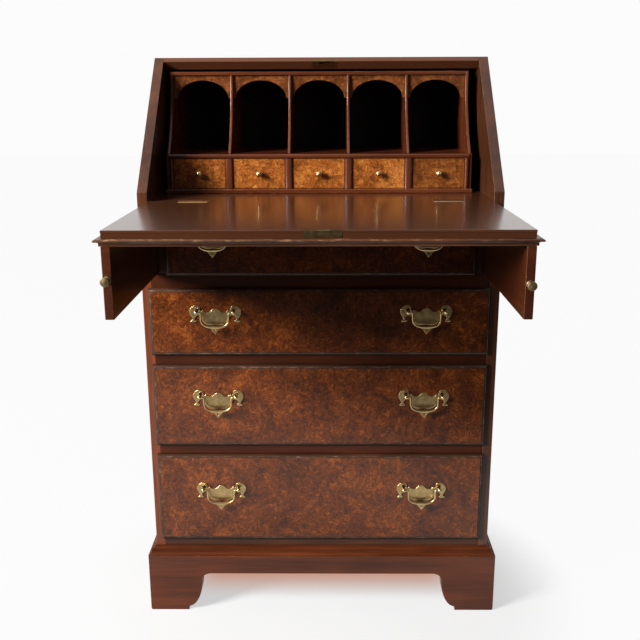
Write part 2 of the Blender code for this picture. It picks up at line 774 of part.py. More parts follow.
def circle(centre, radius, steps):
    """Return points on a circle."""
    turns = [2 * math.pi * step / steps for step in range(steps)]
    return [(centre[0] + radius * math.cos(turn), centre[1] + radius * math.sin(turn)) for turn in turns]


def backplate_mesh():
    """Make the pierced plate about the middle of the post line, its back face at Y 0."""
    holes = [circle((hand * post_spacing / 2, plate_hole_rise), plate_hole_radius, handle_steps)
             for hand in (-1, 1)]
    mesh = outline_mesh("batwing_plate", [plate_outline(), *holes], plate_thickness, upright)
    mesh.transform(Matrix.Translation((0, -plate_thickness / 2, 0)))
    return mesh


def post_profile():
    """Return a post's profile from the tip of its ball down to its collar in the plate."""
    profile = [(post_ball_radius * across, post_reach + post_ball_radius * up) for across, up in ball_shares]
    profile += [(post_radius, post_reach - post_ball_radius), (post_radius, 2 * plate_thickness),
                (post_collar_radius, 1.5 * plate_thickness), (post_collar_radius, plate_thickness / 2),
                (0, plate_thickness / 2)]
    return profile


def bail_path():
    """Return the bail's path: a pin into each ball, a straight arm and half a fuller ellipse between them."""
    pin = post_spacing / 2 - post_ball_radius + bail_pin_depth
    bend = 2 * bail_rod_radius
    half = [(pin, 0), (bail_half_width + bend, 0)]
    for share in (1 / 3, 2 / 3):
        turn = math.pi / 2 * share
        half.append((bail_half_width + bend * (1 - math.sin(turn)), -bend * (1 - math.cos(turn))))
    half += [(bail_half_width, -bend), (bail_half_width, -bail_arm_drop)]
    for step in range(1, bail_arc_steps + 1):
        turn = math.pi / 2 * step / bail_arc_steps
        across = bail_half_width * max(math.cos(turn), 0) ** bail_fullness_share
        down = (bail_drop - bail_arm_drop) * math.sin(turn) ** bail_fullness_share
        half.append((across, -bail_arm_drop - down))
    return half[:-1] + [(0, -bail_drop)] + [(-across, up) for across, up in reversed(half[:-1])]


def bail_mesh():
    """Make the rod of the bail as a bevelled curve about its pivot line."""
    curve = bpy.data.curves.new("bail_rod", "CURVE")
    curve.dimensions = "3D"
    curve.bevel_depth = bail_rod_radius
    curve.bevel_resolution = 1
    curve.use_fill_caps = True
    path = bail_path()
    spline = curve.splines.new("POLY")
    spline.points.add(len(path) - 1)
    for point, (across, up) in zip(spline.points, path):
        point.co = (across, 0, up, 1)
    return mesh_from_curve("bail_rod", curve, level)


def pendant_mesh():
    """Make the pointed drop that hangs from the middle of the bail."""
    top = bail_drop - bail_rod_radius
    height = bail_tip_drop - top
    half = [(bail_pendant_half_width * across, -top - height * down)
            for across, down in pendant_outline_shares]
    outline = half + [(-across, up) for across, up in reversed(half[:-1])]
    return outline_mesh("bail_pendant", [outline], bail_pendant_thickness, upright)


def add_handle(name, drawer, place, meshes):
    """Add one handle: a plate with its two posts, and a bail that hangs between their balls."""
    plate_mesh, post_mesh, rod, pendant = meshes
    plate = add_node(f"{name}_plate", plate_mesh.copy(), aged_brass, place, drawer)
    pivot = (place[0], place[1] - post_reach, place[2])
    inner_face = post_spacing / 2 - post_ball_radius
    depth = inner_face + bail_pin_depth + seat_gap
    for word, hand in (("l", -1), ("r", 1)):
        post_place = (place[0] + hand * post_spacing / 2, place[1], place[2])
        combine(plate, add_cutter(f"{name}_post_{word}", post_mesh, post_place), "UNION")
        faces = sorted((hand * (inner_face - post_ball_radius / 2), hand * depth))
        hole = rod_mesh(f"{name}_hole_{word}", bail_rod_radius + seat_gap, *faces)
        combine(plate, add_cutter(f"{name}_hole_{word}", hole, pivot), "DIFFERENCE")
    bail = add_node(f"{name}_bail", rod.copy(), aged_brass, pivot, plate)
    combine(bail, add_cutter(f"{name}_pendant", pendant, pivot), "UNION")


def add_drawers():
    """Add the three long drawers and the top one between the lopers, each with a pair of handles."""
    heads = [rail_tops[0] + long_opening_heights[0], rail_tops[1] + long_opening_heights[1],
             rail_tops[2] + long_opening_heights[2]]
    drawers = []
    for name, sill, head in zip(("drawer_bottom", "drawer_lower", "drawer_upper"), rail_tops, heads):
        low, high = sill - drawer_lip_overlap, head + drawer_lip_overlap
        drawers.append((add_drawer(name, inner_half, drawer_side_overlap, sill, head, low, high), low, high))
    low, high = loper_floor + top_lip_sill_gap, bed_underside - top_lip_head_gap
    top_drawer = add_drawer("drawer_top", divider_inner, divider_lip_overlap, loper_floor, bed_underside,
                            low, high)
    drawers.append((top_drawer, low, high))
    post_mesh = turned_mesh("post", post_profile(), handle_steps, upright)
    meshes = (backplate_mesh(), post_mesh, bail_mesh(), pendant_mesh())
    for drawer, low, high in drawers:
        height = (low + high) / 2 + handle_rise
        for word, hand in (("left", -1), ("right", 1)):
            name = f"{drawer.name}_{word}"
            add_handle(name, drawer, (hand * handle_x, lip_front - seat_gap, height), meshes)


def divider_setback(height):
    """Return how far back a divider's front edge lies: a parabola, upright at the ceiling."""
    foot = gallery_shelf_setback + divider_foot_setback
    share = (gallery_ceiling - height) / (gallery_ceiling - shelf_top)
    return gallery_top_setback - (gallery_top_setback - foot) * share ** 2


def divider_front():
    """Return (Y, Z) points up a divider's front edge, from the shelf to the ceiling."""
    heights = [shelf_top + (gallery_ceiling - shelf_top) * step / divider_curve_steps
               for step in range(divider_curve_steps + 1)]
    return [(divider_setback(height), height) for height in heights]


def add_gallery_case():
    """Add the gallery's case: base, sides with a swept front edge, top and back, open in front."""
    low = (-gallery_half, gallery_base_setback, gallery_floor)
    high = (gallery_half, gallery_back, gallery_top)
    case = add_box("gallery_case", low, high, mahogany)
    front = gallery_base_setback - cut_overrun
    side_front = gallery_shelf_setback - seat_gap
    swept = [(front, gallery_base_top), (side_front, gallery_base_top), (side_front, shelf_top)]
    swept += divider_front()
    swept += [(gallery_top_setback, gallery_top + cut_overrun), (front, gallery_top + cut_overrun)]
    mesh = outline_mesh("gallery_front_cut", [swept], 2 * (gallery_half + cut_overrun), sideways)
    combine(case, add_cutter("gallery_front_cut", mesh), "DIFFERENCE")
    hollow = box_mesh("gallery_hollow", (-gallery_inner_half, front, gallery_base_top),
                      (gallery_inner_half, gallery_hollow_back, gallery_ceiling))
    combine(case, add_cutter("gallery_hollow", hollow), "DIFFERENCE")


def pilaster_outline(centre, width, back_half):
    """Return a pilaster seen from above: a rounded front that narrows to the partition behind it."""
    half = width / 2
    front = gallery_shelf_setback
    rounded = []
    for step in range(turned_steps + 1):
        turn = math.pi * step / turned_steps
        rounded.append((centre + half * math.cos(turn), front - pilaster_bulge * math.sin(turn)))
    shoulder = front + small_front_thickness
    return rounded + [(centre - half, shoulder), (centre - back_half, shoulder),
                      (centre - back_half, gallery_hollow_back - seat_gap),
                      (centre + back_half, gallery_hollow_back - seat_gap),
                      (centre + back_half, shoulder), (centre + half, shoulder)]


def add_gallery_shelf():
    """Add the shelf over the small drawers, with its rounded nose and the pilasters it stands on."""
    back = gallery_hollow_back - seat_gap
    half = gallery_inner_half - seat_gap
    nose = gallery_shelf_thickness / 2
    middle = (shelf_underside + shelf_top) / 2
    outline = [(back, shelf_underside), (back, shelf_top), (gallery_shelf_setback, shelf_top - seat_gap)]
    for step in range(1, ovolo_steps):
        turn = math.pi * step / ovolo_steps
        outline.append((gallery_shelf_setback - shelf_nose_radius * math.sin(turn),
                        middle + (nose - seat_gap) * math.cos(turn)))
    outline.append((gallery_shelf_setback, shelf_underside))
    shelf = add_node("gallery_shelf", outline_mesh("gallery_shelf", [outline], 2 * half, sideways), mahogany)
    foot = gallery_base_top + seat_gap
    height = shelf_underside + gallery_shelf_thickness / 2 - foot
    standing = foot + height / 2
    for index in range(pigeonholes - 1):
        centre = gallery_pitch * (index - (pigeonholes - 2) / 2)
        outline = pilaster_outline(centre, pilaster_width, partition_thickness / 2)
        mesh = outline_mesh(f"pilaster_{index}", [outline], height, level)
        combine(shelf, add_cutter(f"pilaster_{index}", mesh, (0, 0, standing)), "UNION")
    for word, hand in (("left", -1), ("right", 1)):
        centre = hand * (gallery_inner_half - seat_gap - end_pilaster_width / 2)
        width = end_pilaster_width - seat_gap
        outline = pilaster_outline(centre, width, partition_thickness / 4)
        mesh = outline_mesh(f"pilaster_{word}", [outline], height, level)
        combine(shelf, add_cutter(f"pilaster_{word}", mesh, (0, 0, standing)), "UNION")


def valance_front():
    """Return how far back the face of the valance lies."""
    return gallery_top_setback + valance_setback


def add_pigeonhole_dividers():
    """Add the thin uprights between the pigeonholes, each slotted from above for the valance."""
    slot_low = gallery_ceiling - valance_drop - seat_gap
    near = valance_front() - seat_gap
    far = valance_front() + valance_thickness + seat_gap
    top = gallery_ceiling - seat_gap
    foot = shelf_top + seat_gap
    edge = [(divider_setback(height), height) for height in
            [foot + (top - foot) * step / divider_curve_steps for step in range(divider_curve_steps + 1)]]
    back = gallery_hollow_back - seat_gap
    outline = edge + [(near, top), (near, slot_low), (far, slot_low), (far, top), (back, top), (back, foot)]
    for index in range(pigeonholes - 1):
        name = f"pigeonhole_divider_{index + 1}"
        mesh = outline_mesh(name, [outline], divider_thickness, sideways)
        add_node(name, mesh, mahogany, (gallery_pitch * (index - (pigeonholes - 2) / 2), 0, 0))


def add_valance():
    """Add the valance: one burr strip under the ceiling with a round arch over each pigeonhole."""
    top = gallery_ceiling - seat_gap
    foot = gallery_ceiling - valance_drop
    crown = gallery_ceiling - valance_crown_drop
    half = gallery_inner_half - seat_gap
    outline = [(half, foot), (half, top), (-half, top), (-half, foot)]
    for index in range(pigeonholes):
        centre = gallery_pitch * (index - (pigeonholes - 1) / 2)
        span = (gallery_pitch - divider_thickness) / 2 - valance_foot_width
        for step in range(valance_arch_steps + 1):
            turn = math.pi * (1 - step / valance_arch_steps)
            outline.append((centre + span * math.cos(turn), foot + (crown - foot) * math.sin(turn)))
    mesh = outline_mesh("gallery_valance", [outline], valance_thickness, upright)
    add_node("gallery_valance", mesh, light_burr, (0, valance_front() + valance_thickness / 2, 0))


def add_small_drawers():
    """Add the row of small drawers with their ball knobs."""
    half = small_opening / 2 - small_drawer_gap
    low = gallery_base_top + seat_gap
    high = shelf_underside - small_drawer_gap
    box_half = (gallery_pitch - partition_thickness) / 2 - small_drawer_gap
    box_half = min(half, box_half)
    for index in range(pigeonholes):
        centre = gallery_pitch * (index - (pigeonholes - 1) / 2)
        middle = (low + high) / 2
        name = f"small_drawer_{index + 1}"
        place = Vector((centre, gallery_shelf_setback, middle))
        mesh = box_mesh(name, (-box_half, 0, low - middle), (box_half, small_drawer_length, high - middle))
        drawer = add_node(name, mesh, light_burr, place)
        hollow = box_mesh(f"{name}_hollow",
                          (centre + small_drawer_wall - box_half, place.y + small_front_thickness,
                           low + small_drawer_wall),
                          (centre + box_half - small_drawer_wall,
                           place.y + small_drawer_length - small_drawer_wall, high + cut_overrun))
        combine(drawer, add_cutter(f"{name}_hollow", hollow), "DIFFERENCE")
        sizes = (small_knob_radius, small_knob_reach, small_knob_neck_radius, small_knob_rose_radius)
        add_knob(f"small_knob_{index + 1}", sizes, (centre, place.y - seat_gap, middle), drawer)


def set_gallery_aside():
    """Move the gallery, with its drawers and the shapes that cut them, to where it stands in the case."""
    moving = ("gallery_", "pilaster_", "pigeonhole_", "small_drawer_")
    for piece in bpy.data.objects:
        if piece.parent is origin and piece.name.startswith(moving):
            piece.location.x += gallery_offset


def build():
    """Build the whole bureau."""
    add_sides()
    add_top()
    add_back()
    add_rails()
    add_bed()
    add_loper_dividers()
    add_plinth()
    fall = add_fall()
    add_lock(fall)
    add_hinges(fall)
    add_lopers()
    add_drawers()
    add_gallery_case()
    add_gallery_shelf()
    add_pigeonhole_dividers()
    add_valance()
    add_small_drawers()
    set_gallery_aside()


build()
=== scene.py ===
"""Looks of a slant-front writing bureau whose fall lies open on two pulled-out lopers.

Metres, +Z up, the floor at Z 0 and the front towards -Y. Every board, knob and handle here lies where its
solid lies and rides on the same body.
"""

import math
import zlib

import bmesh
import bpy
import numpy as np
from mathutils import Matrix, Vector


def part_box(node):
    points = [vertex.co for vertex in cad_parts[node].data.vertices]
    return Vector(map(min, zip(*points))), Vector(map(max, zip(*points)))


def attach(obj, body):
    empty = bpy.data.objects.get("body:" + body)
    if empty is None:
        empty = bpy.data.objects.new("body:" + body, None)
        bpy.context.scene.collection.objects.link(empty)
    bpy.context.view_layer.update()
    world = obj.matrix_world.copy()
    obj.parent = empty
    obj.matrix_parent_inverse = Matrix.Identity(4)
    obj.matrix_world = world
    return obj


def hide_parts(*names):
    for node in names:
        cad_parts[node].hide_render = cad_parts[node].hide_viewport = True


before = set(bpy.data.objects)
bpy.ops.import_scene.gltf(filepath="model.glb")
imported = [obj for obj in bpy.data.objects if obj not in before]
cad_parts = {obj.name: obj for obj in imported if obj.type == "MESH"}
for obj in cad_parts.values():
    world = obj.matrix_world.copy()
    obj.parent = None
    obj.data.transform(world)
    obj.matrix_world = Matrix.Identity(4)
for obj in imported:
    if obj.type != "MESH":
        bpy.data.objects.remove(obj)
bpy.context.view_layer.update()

bl_info = {
    "name": "Slant-front bureau looks",
    "version": (1, 0, 0),
    "blender": (4, 5, 0),
    "location": "View3D > Sidebar > Bureau",
    "description": "Builds the boards, brass and finishes of a slant-front writing bureau",
    "category": "Add Mesh",
}


def box(node):
    """Return the lowest and highest corner of a solid as arrays."""
    low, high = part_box(node)
    return np.array(low), np.array(high)


# Places that the solids give
SIDE_LOW, SIDE_HIGH = box("side_right")
FRONT = SIDE_LOW[1]
CASE_HALF = SIDE_HIGH[0]
INNER_HALF = SIDE_LOW[0]
CASE_TOP = SIDE_HIGH[2]
WRITING = box("writing_bed")[1][2]
BOARD_BACK = box("writing_bed")[1][1]

# Slant of the case
TOP_SETBACK = 0.214
FIELD_THICKNESS = 0.0105
EDGE_OFFSET = 0.0102
TOP_THICKNESS = 0.0205
FIELD_REACH = FRONT - box("lock_plate")[0][1]
SLANT_RISE = CASE_TOP - WRITING
SLANT_LENGTH = math.hypot(TOP_SETBACK, SLANT_RISE)
SLANT_ANGLE = math.atan2(SLANT_RISE, TOP_SETBACK) - math.asin(EDGE_OFFSET / SLANT_LENGTH)
KNEE = WRITING + EDGE_OFFSET / math.cos(SLANT_ANGLE)

# Gap round brass that is let in and round the bolt, and how far a cutting box passes the face that it cuts
FIT = 0.0003
BOLT_GAP = 0.0005
PAST = 0.003

# Clearance between boards that don't touch
CLEAR = 0.0003

# Radii of the edges of boards, of boards that meet closely, and of boards that lie inside
SOFT_EDGE = 0.0006
CRISP_EDGE = 0.0004
INNER_EDGE = 0.0003

# Which two axes an outline lies in, and the one that it is carried along
AXES = {"X": (1, 2, 0), "Y": (0, 2, 1), "Z": (0, 1, 2)}
GRAINS = {"X": 0, "Y": 1, "Z": 2}
GRAIN_ORDER = np.array(((0, 1, 2), (1, 0, 2), (2, 0, 1)))

# Edges that turn by more than this stay sharp
CREASE = math.radians(32)


def new_object(name, data):
    """Put a new object into the scene, with its data."""
    made = bpy.data.objects.new(name, data)
    bpy.context.scene.collection.objects.link(made)
    return made


def grid_faces(rows, columns, close_columns=True):
    """Join each point of a grid to its neighbours in four-cornered faces; closed columns meet their
    start."""
    index = np.arange(rows * columns).reshape(rows, columns)
    if close_columns:
        index = np.hstack((index, index[:, :1]))
    corners = (index[:-1, :-1], index[:-1, 1:], index[1:, 1:], index[1:, :-1])
    return np.stack(corners, axis=-1).reshape(-1, 4)


def capped_faces(rows, columns):
    """Close the first and last row of a grid with closed columns by one face each."""
    ring = np.arange(columns)
    return [grid_faces(rows, columns), ring[None, ::-1], ring[None] + (rows - 1) * columns]


class Form:
    """The closed shells of one piece, kept as arrays until the piece is made of them."""

    def __init__(self, name):
        self.name = name
        self.points, self.wear, self.faces, self.grains, self.slots, self.shells = [], [], [], [], [], []
        self.total = 0

    def shell(self, points, faces, grain="X", slot=0, wear=0.0):
        """Add a shell: its points, blocks of faces, and a grain and a slot for all faces or for each."""
        points = np.asarray(points, float).reshape(-1, 3)
        rows = []
        for block in faces:
            rows += (np.asarray(block) + self.total).tolist()
        grain = GRAINS[grain] if isinstance(grain, str) else grain
        self.points.append(points)
        self.wear.append(np.broadcast_to(np.asarray(wear, float), len(points)))
        self.faces += rows
        self.grains.append(np.broadcast_to(grain, len(rows)))
        self.slots.append(np.broadcast_to(slot, len(rows)))
        self.shells.append(np.full(len(rows), len(self.shells)))
        self.total += len(points)

    def make(self, finishes, body, replaced=()):
        """Make the piece, point its faces out, lay the grain along each board and let it ride on its
        body."""
        mesh = bpy.data.meshes.new(self.name)
        points = np.concatenate(self.points)
        mesh.from_pydata(points.tolist(), [], self.faces)
        shape = bmesh.new()
        shape.from_mesh(mesh)
        bmesh.ops.recalc_face_normals(shape, faces=shape.faces)
        shape.to_mesh(mesh)
        shape.free()
        for finish in finishes:
            mesh.materials.append(finish)
        mesh.polygons.foreach_set("material_index", np.concatenate(self.slots).astype(np.int32))
        self.lay_grain(mesh, points)
        wear = mesh.attributes.new("wear", "FLOAT", "POINT")
        wear.data.foreach_set("value", np.concatenate(self.wear).astype(np.float32))
        mesh.shade_smooth()
        mesh.set_sharp_from_angle(angle=CREASE)
        piece = new_object(self.name, mesh)
        even = piece.modifiers.new("even_shading", "WEIGHTED_NORMAL")
        even.keep_sharp = True
        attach(piece, body)
        if replaced:
            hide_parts(*replaced)
        return piece

    def lay_grain(self, mesh, points):
        """Store each corner's place with the grain's direction first, moved by an amount of the board's
        own."""
        corners = np.empty(len(mesh.loops), np.int32)
        mesh.loops.foreach_get("vertex_index", corners)
        sides = np.empty(len(mesh.polygons), np.int32)
        mesh.polygons.foreach_get("loop_total", sides)
        face = np.repeat(np.arange(len(sides)), sides)
        order = GRAIN_ORDER[np.concatenate(self.grains)[face]]
        laid = np.take_along_axis(points[corners], order, axis=1)
        draw = np.random.default_rng(zlib.crc32(self.name.encode()))
        moved = draw.uniform(-1.0, 1.0, (len(self.shells), 3))
        laid = laid + moved[np.concatenate(self.shells)[face]]
        grain = mesh.attributes.new("grain", "FLOAT_VECTOR", "CORNER")
        grain.data.foreach_set("vector", laid.astype(np.float32).ravel())


def lean(outline):
    """Return, for each corner of an outline that runs anticlockwise, the way in that moves both of its
    sides in by one: the sum of the two inward normals over one plus their product."""
    after = np.roll(outline, -1, 0) - outline
    after = after / np.linalg.norm(after, axis=1, keepdims=True)
    inward = np.stack((-after[:, 1], after[:, 0]), axis=1)
    before = np.roll(inward, 1, 0)
    product = np.sum(inward * before, axis=1, keepdims=True)
    return (inward + before) / np.maximum(1 + product, 0.25)


def rounded(corners, radius, steps=4):
    """Round the corners of a closed outline: each becomes a quadratic curve that starts and ends a radius
    away from it, or a little less than half a side where the side is short."""
    corners = np.asarray(corners, float)
    curves = []
    share = np.linspace(0, 1, steps + 1)[None, :, None]
    for step in (1, -1):
        side = np.roll(corners, step, 0) - corners
        length = np.linalg.norm(side, axis=1, keepdims=True)
        away = np.minimum(radius, 0.45 * length)
        curves.append((corners + side / length * away)[:, None])
    middle = corners[:, None]
    curve = (1 - share) ** 2 * curves[0] + 2 * share * (1 - share) * middle + share ** 2 * curves[1]
    flat = curve.reshape(-1, 2)
    apart = np.linalg.norm(flat - np.roll(flat, 1, 0), axis=1)
    return flat[apart > 1e-6]


def smooth_loop(points, steps=4):
    """Pass a smooth closed curve through points: between two of them a cubic whose slopes at its ends are
    half the step from the point before to the point after."""
    points = np.asarray(points, float)
    share = np.linspace(0, 1, steps, endpoint=False)[None, :, None]
    before, here, after, beyond = (np.roll(points, turn, 0)[:, None] for turn in (1, 0, -1, -2))
    curve = (here + share * (after - before) / 2
             + share ** 2 * (before - 2.5 * here + 2 * after - 0.5 * beyond)
             + share ** 3 * (1.5 * (here - after) + 0.5 * (beyond - before)))
    return curve.reshape(-1, 2)


def slab(form, outline, low, high, axis="Z", edge=SOFT_EDGE, steps=3, shear=None, **look):
    """Carry a closed outline along an axis. Its two rims are quarter rounds: at angle t the outline has
    moved in by edge times 1 - cos t where it has risen by edge times 1 - sin t."""
    outline = np.asarray(outline, float)
    following = np.roll(outline, -1, 0)
    if np.sum(outline[:, 0] * following[:, 1] - following[:, 0] * outline[:, 1]) < 0:
        outline = outline[::-1]
    angles = np.linspace(math.pi / 2, 0, steps + 1)
    insets = (1 - np.cos(angles))[:, None, None] * edge
    rises = (1 - np.sin(angles)) * edge
    half = outline + lean(outline) * insets
    flat = np.concatenate((half, half[::-1]))
    along = np.concatenate((low + rises, high - rises[::-1]))
    rows, columns = flat.shape[:2]
    first, second, third = AXES[axis]
    points = np.empty((rows, columns, 3))
    points[..., first], points[..., second], points[..., third] = flat[..., 0], flat[..., 1], along[:, None]
    if shear is not None:
        points = shear(points)
    bend = np.sin(2 * angles)
    wear = np.repeat(np.concatenate((bend, bend[::-1])), columns)
    form.shell(points, capped_faces(rows, columns), wear=wear, **look)


def board(form, low, high, edge=SOFT_EDGE, **look):
    """Make a board with all its edges rounded: its outline is carried along its thinnest side, and its
    grain runs along its longest."""
    low, high = np.asarray(low, float), np.asarray(high, float)
    size = high - low
    axis = "XYZ"[int(np.argmin(size))]
    look.setdefault("grain", "XYZ"[int(np.argmax(size))])
    first, second, third = AXES[axis]
    corners = [(low[first], low[second]), (high[first], low[second]),
               (high[first], high[second]), (low[first], high[second])]
    slab(form, rounded(corners, edge), low[third], high[third], axis, edge, **look)


def stepped(form, low, high, profile, axis="Y", sides=(1, 1, 1, 1), slots=None, wears=None,
            corner_wear=(1, 1, 1, 1), **look):
    """Stack rectangles along an axis. Each row of the profile gives how far a rectangle stands in from the
    outer one and its place along the axis; the grain runs along each of its four sides. A corner's wear is
    its row's times its own share."""
    inset, along = np.asarray(profile, float).T
    first, second, third = AXES[axis]
    near = np.array((low[0], low[1]), float)
    far = np.array((high[0], high[1]), float)
    left, lower, right, upper = (inset * share for share in sides)
    across = np.stack((near[0] + left, far[0] - right, far[0] - right, near[0] + left), axis=1)
    up = np.stack((near[1] + lower, near[1] + lower, far[1] - upper, far[1] - upper), axis=1)
    points = np.empty((len(inset), 4, 3))
    points[..., first], points[..., second], points[..., third] = across, up, along[:, None]
    faces = capped_faces(len(inset), 4)
    run = [first, second, first, second] * (len(inset) - 1) + [first, first]
    kinds = 0
    if slots is not None:
        kinds = list(np.repeat(slots[1:-1], 4)) + [slots[0], slots[-1]]
    wear = 0.0 if wears is None else np.outer(wears, corner_wear).ravel()
    form.shell(points, faces, grain=np.array(run), slot=np.array(kinds), wear=wear, **look)


def turned(form, profile, centre, steps=40, slot=0):
    """Turn a profile of (radius, height) about an axis along Y through a centre; the height runs towards
    the front, and both ends are closed."""
    radius, height = np.asarray(profile, float).T
    turn = np.linspace(0, 2 * math.pi, steps, endpoint=False)
    points = np.empty((len(radius), steps, 3))
    points[..., 0] = centre[0] + radius[:, None] * np.cos(turn)
    points[..., 1] = centre[1] - height[:, None]
    points[..., 2] = centre[2] + radius[:, None] * np.sin(turn)
    form.shell(points, capped_faces(len(radius), steps), slot=slot)


def tube(form, path, radii, depth, wear):
    """Carry an ellipse along a path in the XZ plane: one radius lies in that plane, across the path, and
    the other along Y. Both change along the path."""
    path, radii = np.asarray(path, float), np.asarray(radii, float)
    along = np.gradient(path, axis=0)
    along /= np.linalg.norm(along, axis=1, keepdims=True)
    across = np.stack((-along[:, 1], along[:, 0]), axis=1)
    steps = 16
    turn = np.linspace(0, 2 * math.pi, steps, endpoint=False)
    points = np.empty((len(path), steps, 3))
    points[..., 0] = path[:, :1] + across[:, :1] * radii[:, :1] * np.cos(turn)
    points[..., 2] = path[:, 1:] + across[:, 1:] * radii[:, :1] * np.cos(turn)
    points[..., 1] = depth + radii[:, 1:] * np.sin(turn)
    form.shell(points, capped_faces(len(path), steps), wear=wear)


def carve(piece, boxes, turn=None):
    """Cut box-shaped recesses into a finished board, one Boolean for each; what they leave becomes its
    mesh. A turn is the place and angle of an axis along X that the boxes are turned about."""
    tools = []
    for low, high in boxes:
        corners = np.array([(x, y, z) for z in (low[2], high[2]) for x, y in
                            ((low[0], low[1]), (high[0], low[1]), (high[0], high[1]), (low[0], high[1]))])
        if turn is not None:
            place, angle = turn
            corners = (corners - place) @ np.array(Matrix.Rotation(-angle, 3, "X")) + place
        mesh = bpy.data.meshes.new("recess")
        faces = grid_faces(2, 4).tolist() + [[3, 2, 1, 0], [4, 5, 6, 7]]
        mesh.from_pydata(corners.tolist(), [], faces)
        tool = new_object("recess", mesh)
        cut = piece.modifiers.new("recess", "BOOLEAN")
        cut.operation, cut.solver, cut.object = "DIFFERENCE", "FAST", tool
        tools.append((cut, tool, mesh))
    even = piece.modifiers["even_shading"]
    even.show_viewport = False
    bpy.context.view_layer.update()
    graph = bpy.context.evaluated_depsgraph_get()
    carved = bpy.data.meshes.new_from_object(piece.evaluated_get(graph))
    for cut, tool, mesh in tools:
        piece.modifiers.remove(cut)
        bpy.data.objects.remove(tool)
        bpy.data.meshes.remove(mesh)
    even.show_viewport = True
    plain = piece.data
    piece.data = carved
    carved.name = plain.name
    bpy.data.meshes.remove(plain)
    if not carved.polygons:
        raise RuntimeError(f"nothing is left of {piece.name}")


def one_board(name, node, finish, body, edge, grain):
    """Make a piece of one board that stands for a solid."""
    form = Form(name)
    board(form, *box(node), edge, grain=grain)
    return form.make([finishes[finish]], body, [node])


class Signal:
    """A node's output. Sums and products of signals add their own Math nodes."""

    def __init__(self, recipe, socket):
        self.recipe, self.socket = recipe, socket

    def maths(self, operation, first, second):
        """Add a Math node."""
        return self.recipe.node("ShaderNodeMath", {"operation": operation}, first, second)

    def __add__(self, other):
        return self.maths("ADD", self, other)

    __radd__ = __add__

    def __sub__(self, other):
        return self.maths("SUBTRACT", self, other)

    def __rsub__(self, other):
        return self.maths("SUBTRACT", other, self)

    def __mul__(self, other):
        return self.maths("MULTIPLY", self, other)

    __rmul__ = __mul__

    def between(self, low, high, start=0.0, end=1.0):
        """Rise smoothly from start to end while the signal goes from low to high."""
        settings = {"interpolation_type": "SMOOTHSTEP"}
        return self.recipe.node("ShaderNodeMapRange", settings, self, low, high, start, end)


class Recipe:
    """The node tree of one finish, or of the world."""

    def __init__(self, owner):
        self.owner = owner
        self.owner.use_nodes = True
        self.tree = self.owner.node_tree
        self.tree.nodes.clear()

    def node(self, kind, settings, *values, output=0, **named):
        """Add a node: its settings first, then its sockets in order, then the named ones."""
        made = self.tree.nodes.new(kind)
        for key, value in settings.items():
            if key == "stops":
                self.set_stops(made.color_ramp, value)
            else:
                setattr(made, key, value)
        sockets = [socket for socket in made.inputs if socket.enabled]
        pairs = list(zip(sockets, values)) + [(made.inputs[key.replace("_", " ")], value)
                                              for key, value in named.items()]
        for socket, value in pairs:
            if isinstance(value, Signal):
                self.tree.links.new(value.socket, socket)
            elif value is not None:
                colour = socket.type == "RGBA" and len(value) == 3
                socket.default_value = (*value, 1.0) if colour else value
        outputs = [socket for socket in made.outputs if socket.enabled]
        return Signal(self, outputs[output]) if outputs else None

    @staticmethod
    def set_stops(ramp, stops):
        """Give a colour ramp its stops as (place, colour) pairs."""
        while len(ramp.elements) < len(stops):
            ramp.elements.new(1.0)
        for element, (place, colour) in zip(ramp.elements, stops):
            element.position = place
            element.color = (*colour, 1.0)

    def grain(self, *scale):
        """Read the place along the board's grain, stretched by a scale."""
        place = self.node("ShaderNodeAttribute", {"attribute_name": "grain"}, output=1)
        return self.node("ShaderNodeVectorMath", {"operation": "MULTIPLY"}, place, scale)

    def wear(self):
        """Read how much an edge has been handled."""
        return self.node("ShaderNodeAttribute", {"attribute_name": "wear"}, output=2)

    def noise(self, place, scale, detail=3.0, roughness=0.55, distortion=0.0, output=0):
        """Add noise whose octaves are twice as fine each; output 1 is its colour."""
        return self.node("ShaderNodeTexNoise", {}, place, scale, detail, roughness, 2.0, distortion,
                         output=output)

    def mix(self, share, first, second):
        """Mix two colours."""
        return self.node("ShaderNodeMix", {"data_type": "RGBA"}, share, first, second)

    def ramp(self, signal, *stops):
        """Turn a signal into a colour between (place, colour) pairs."""
        return self.node("ShaderNodeValToRGB", {"stops": stops}, signal)

    def bump(self, height, strength, distance):
        """Turn a height into a relief."""
        return self.node("ShaderNodeBump", {}, strength, distance, Height=height)

    def principled(self, **sockets):
        """Close the finish with its shader and return the material."""
        shader = self.node("ShaderNodeBsdfPrincipled", {}, **sockets)
        self.node("ShaderNodeOutputMaterial", {}, shader)
        return self.owner


def tint(colour, gain):
    """Return a colour made lighter or darker."""
    return tuple(min(channel * gain, 1.0) for channel in colour)


COAT_ROUGHNESS = 0.14
# Height of the finest relief: fibres and pores
RELIEF = 0.0004


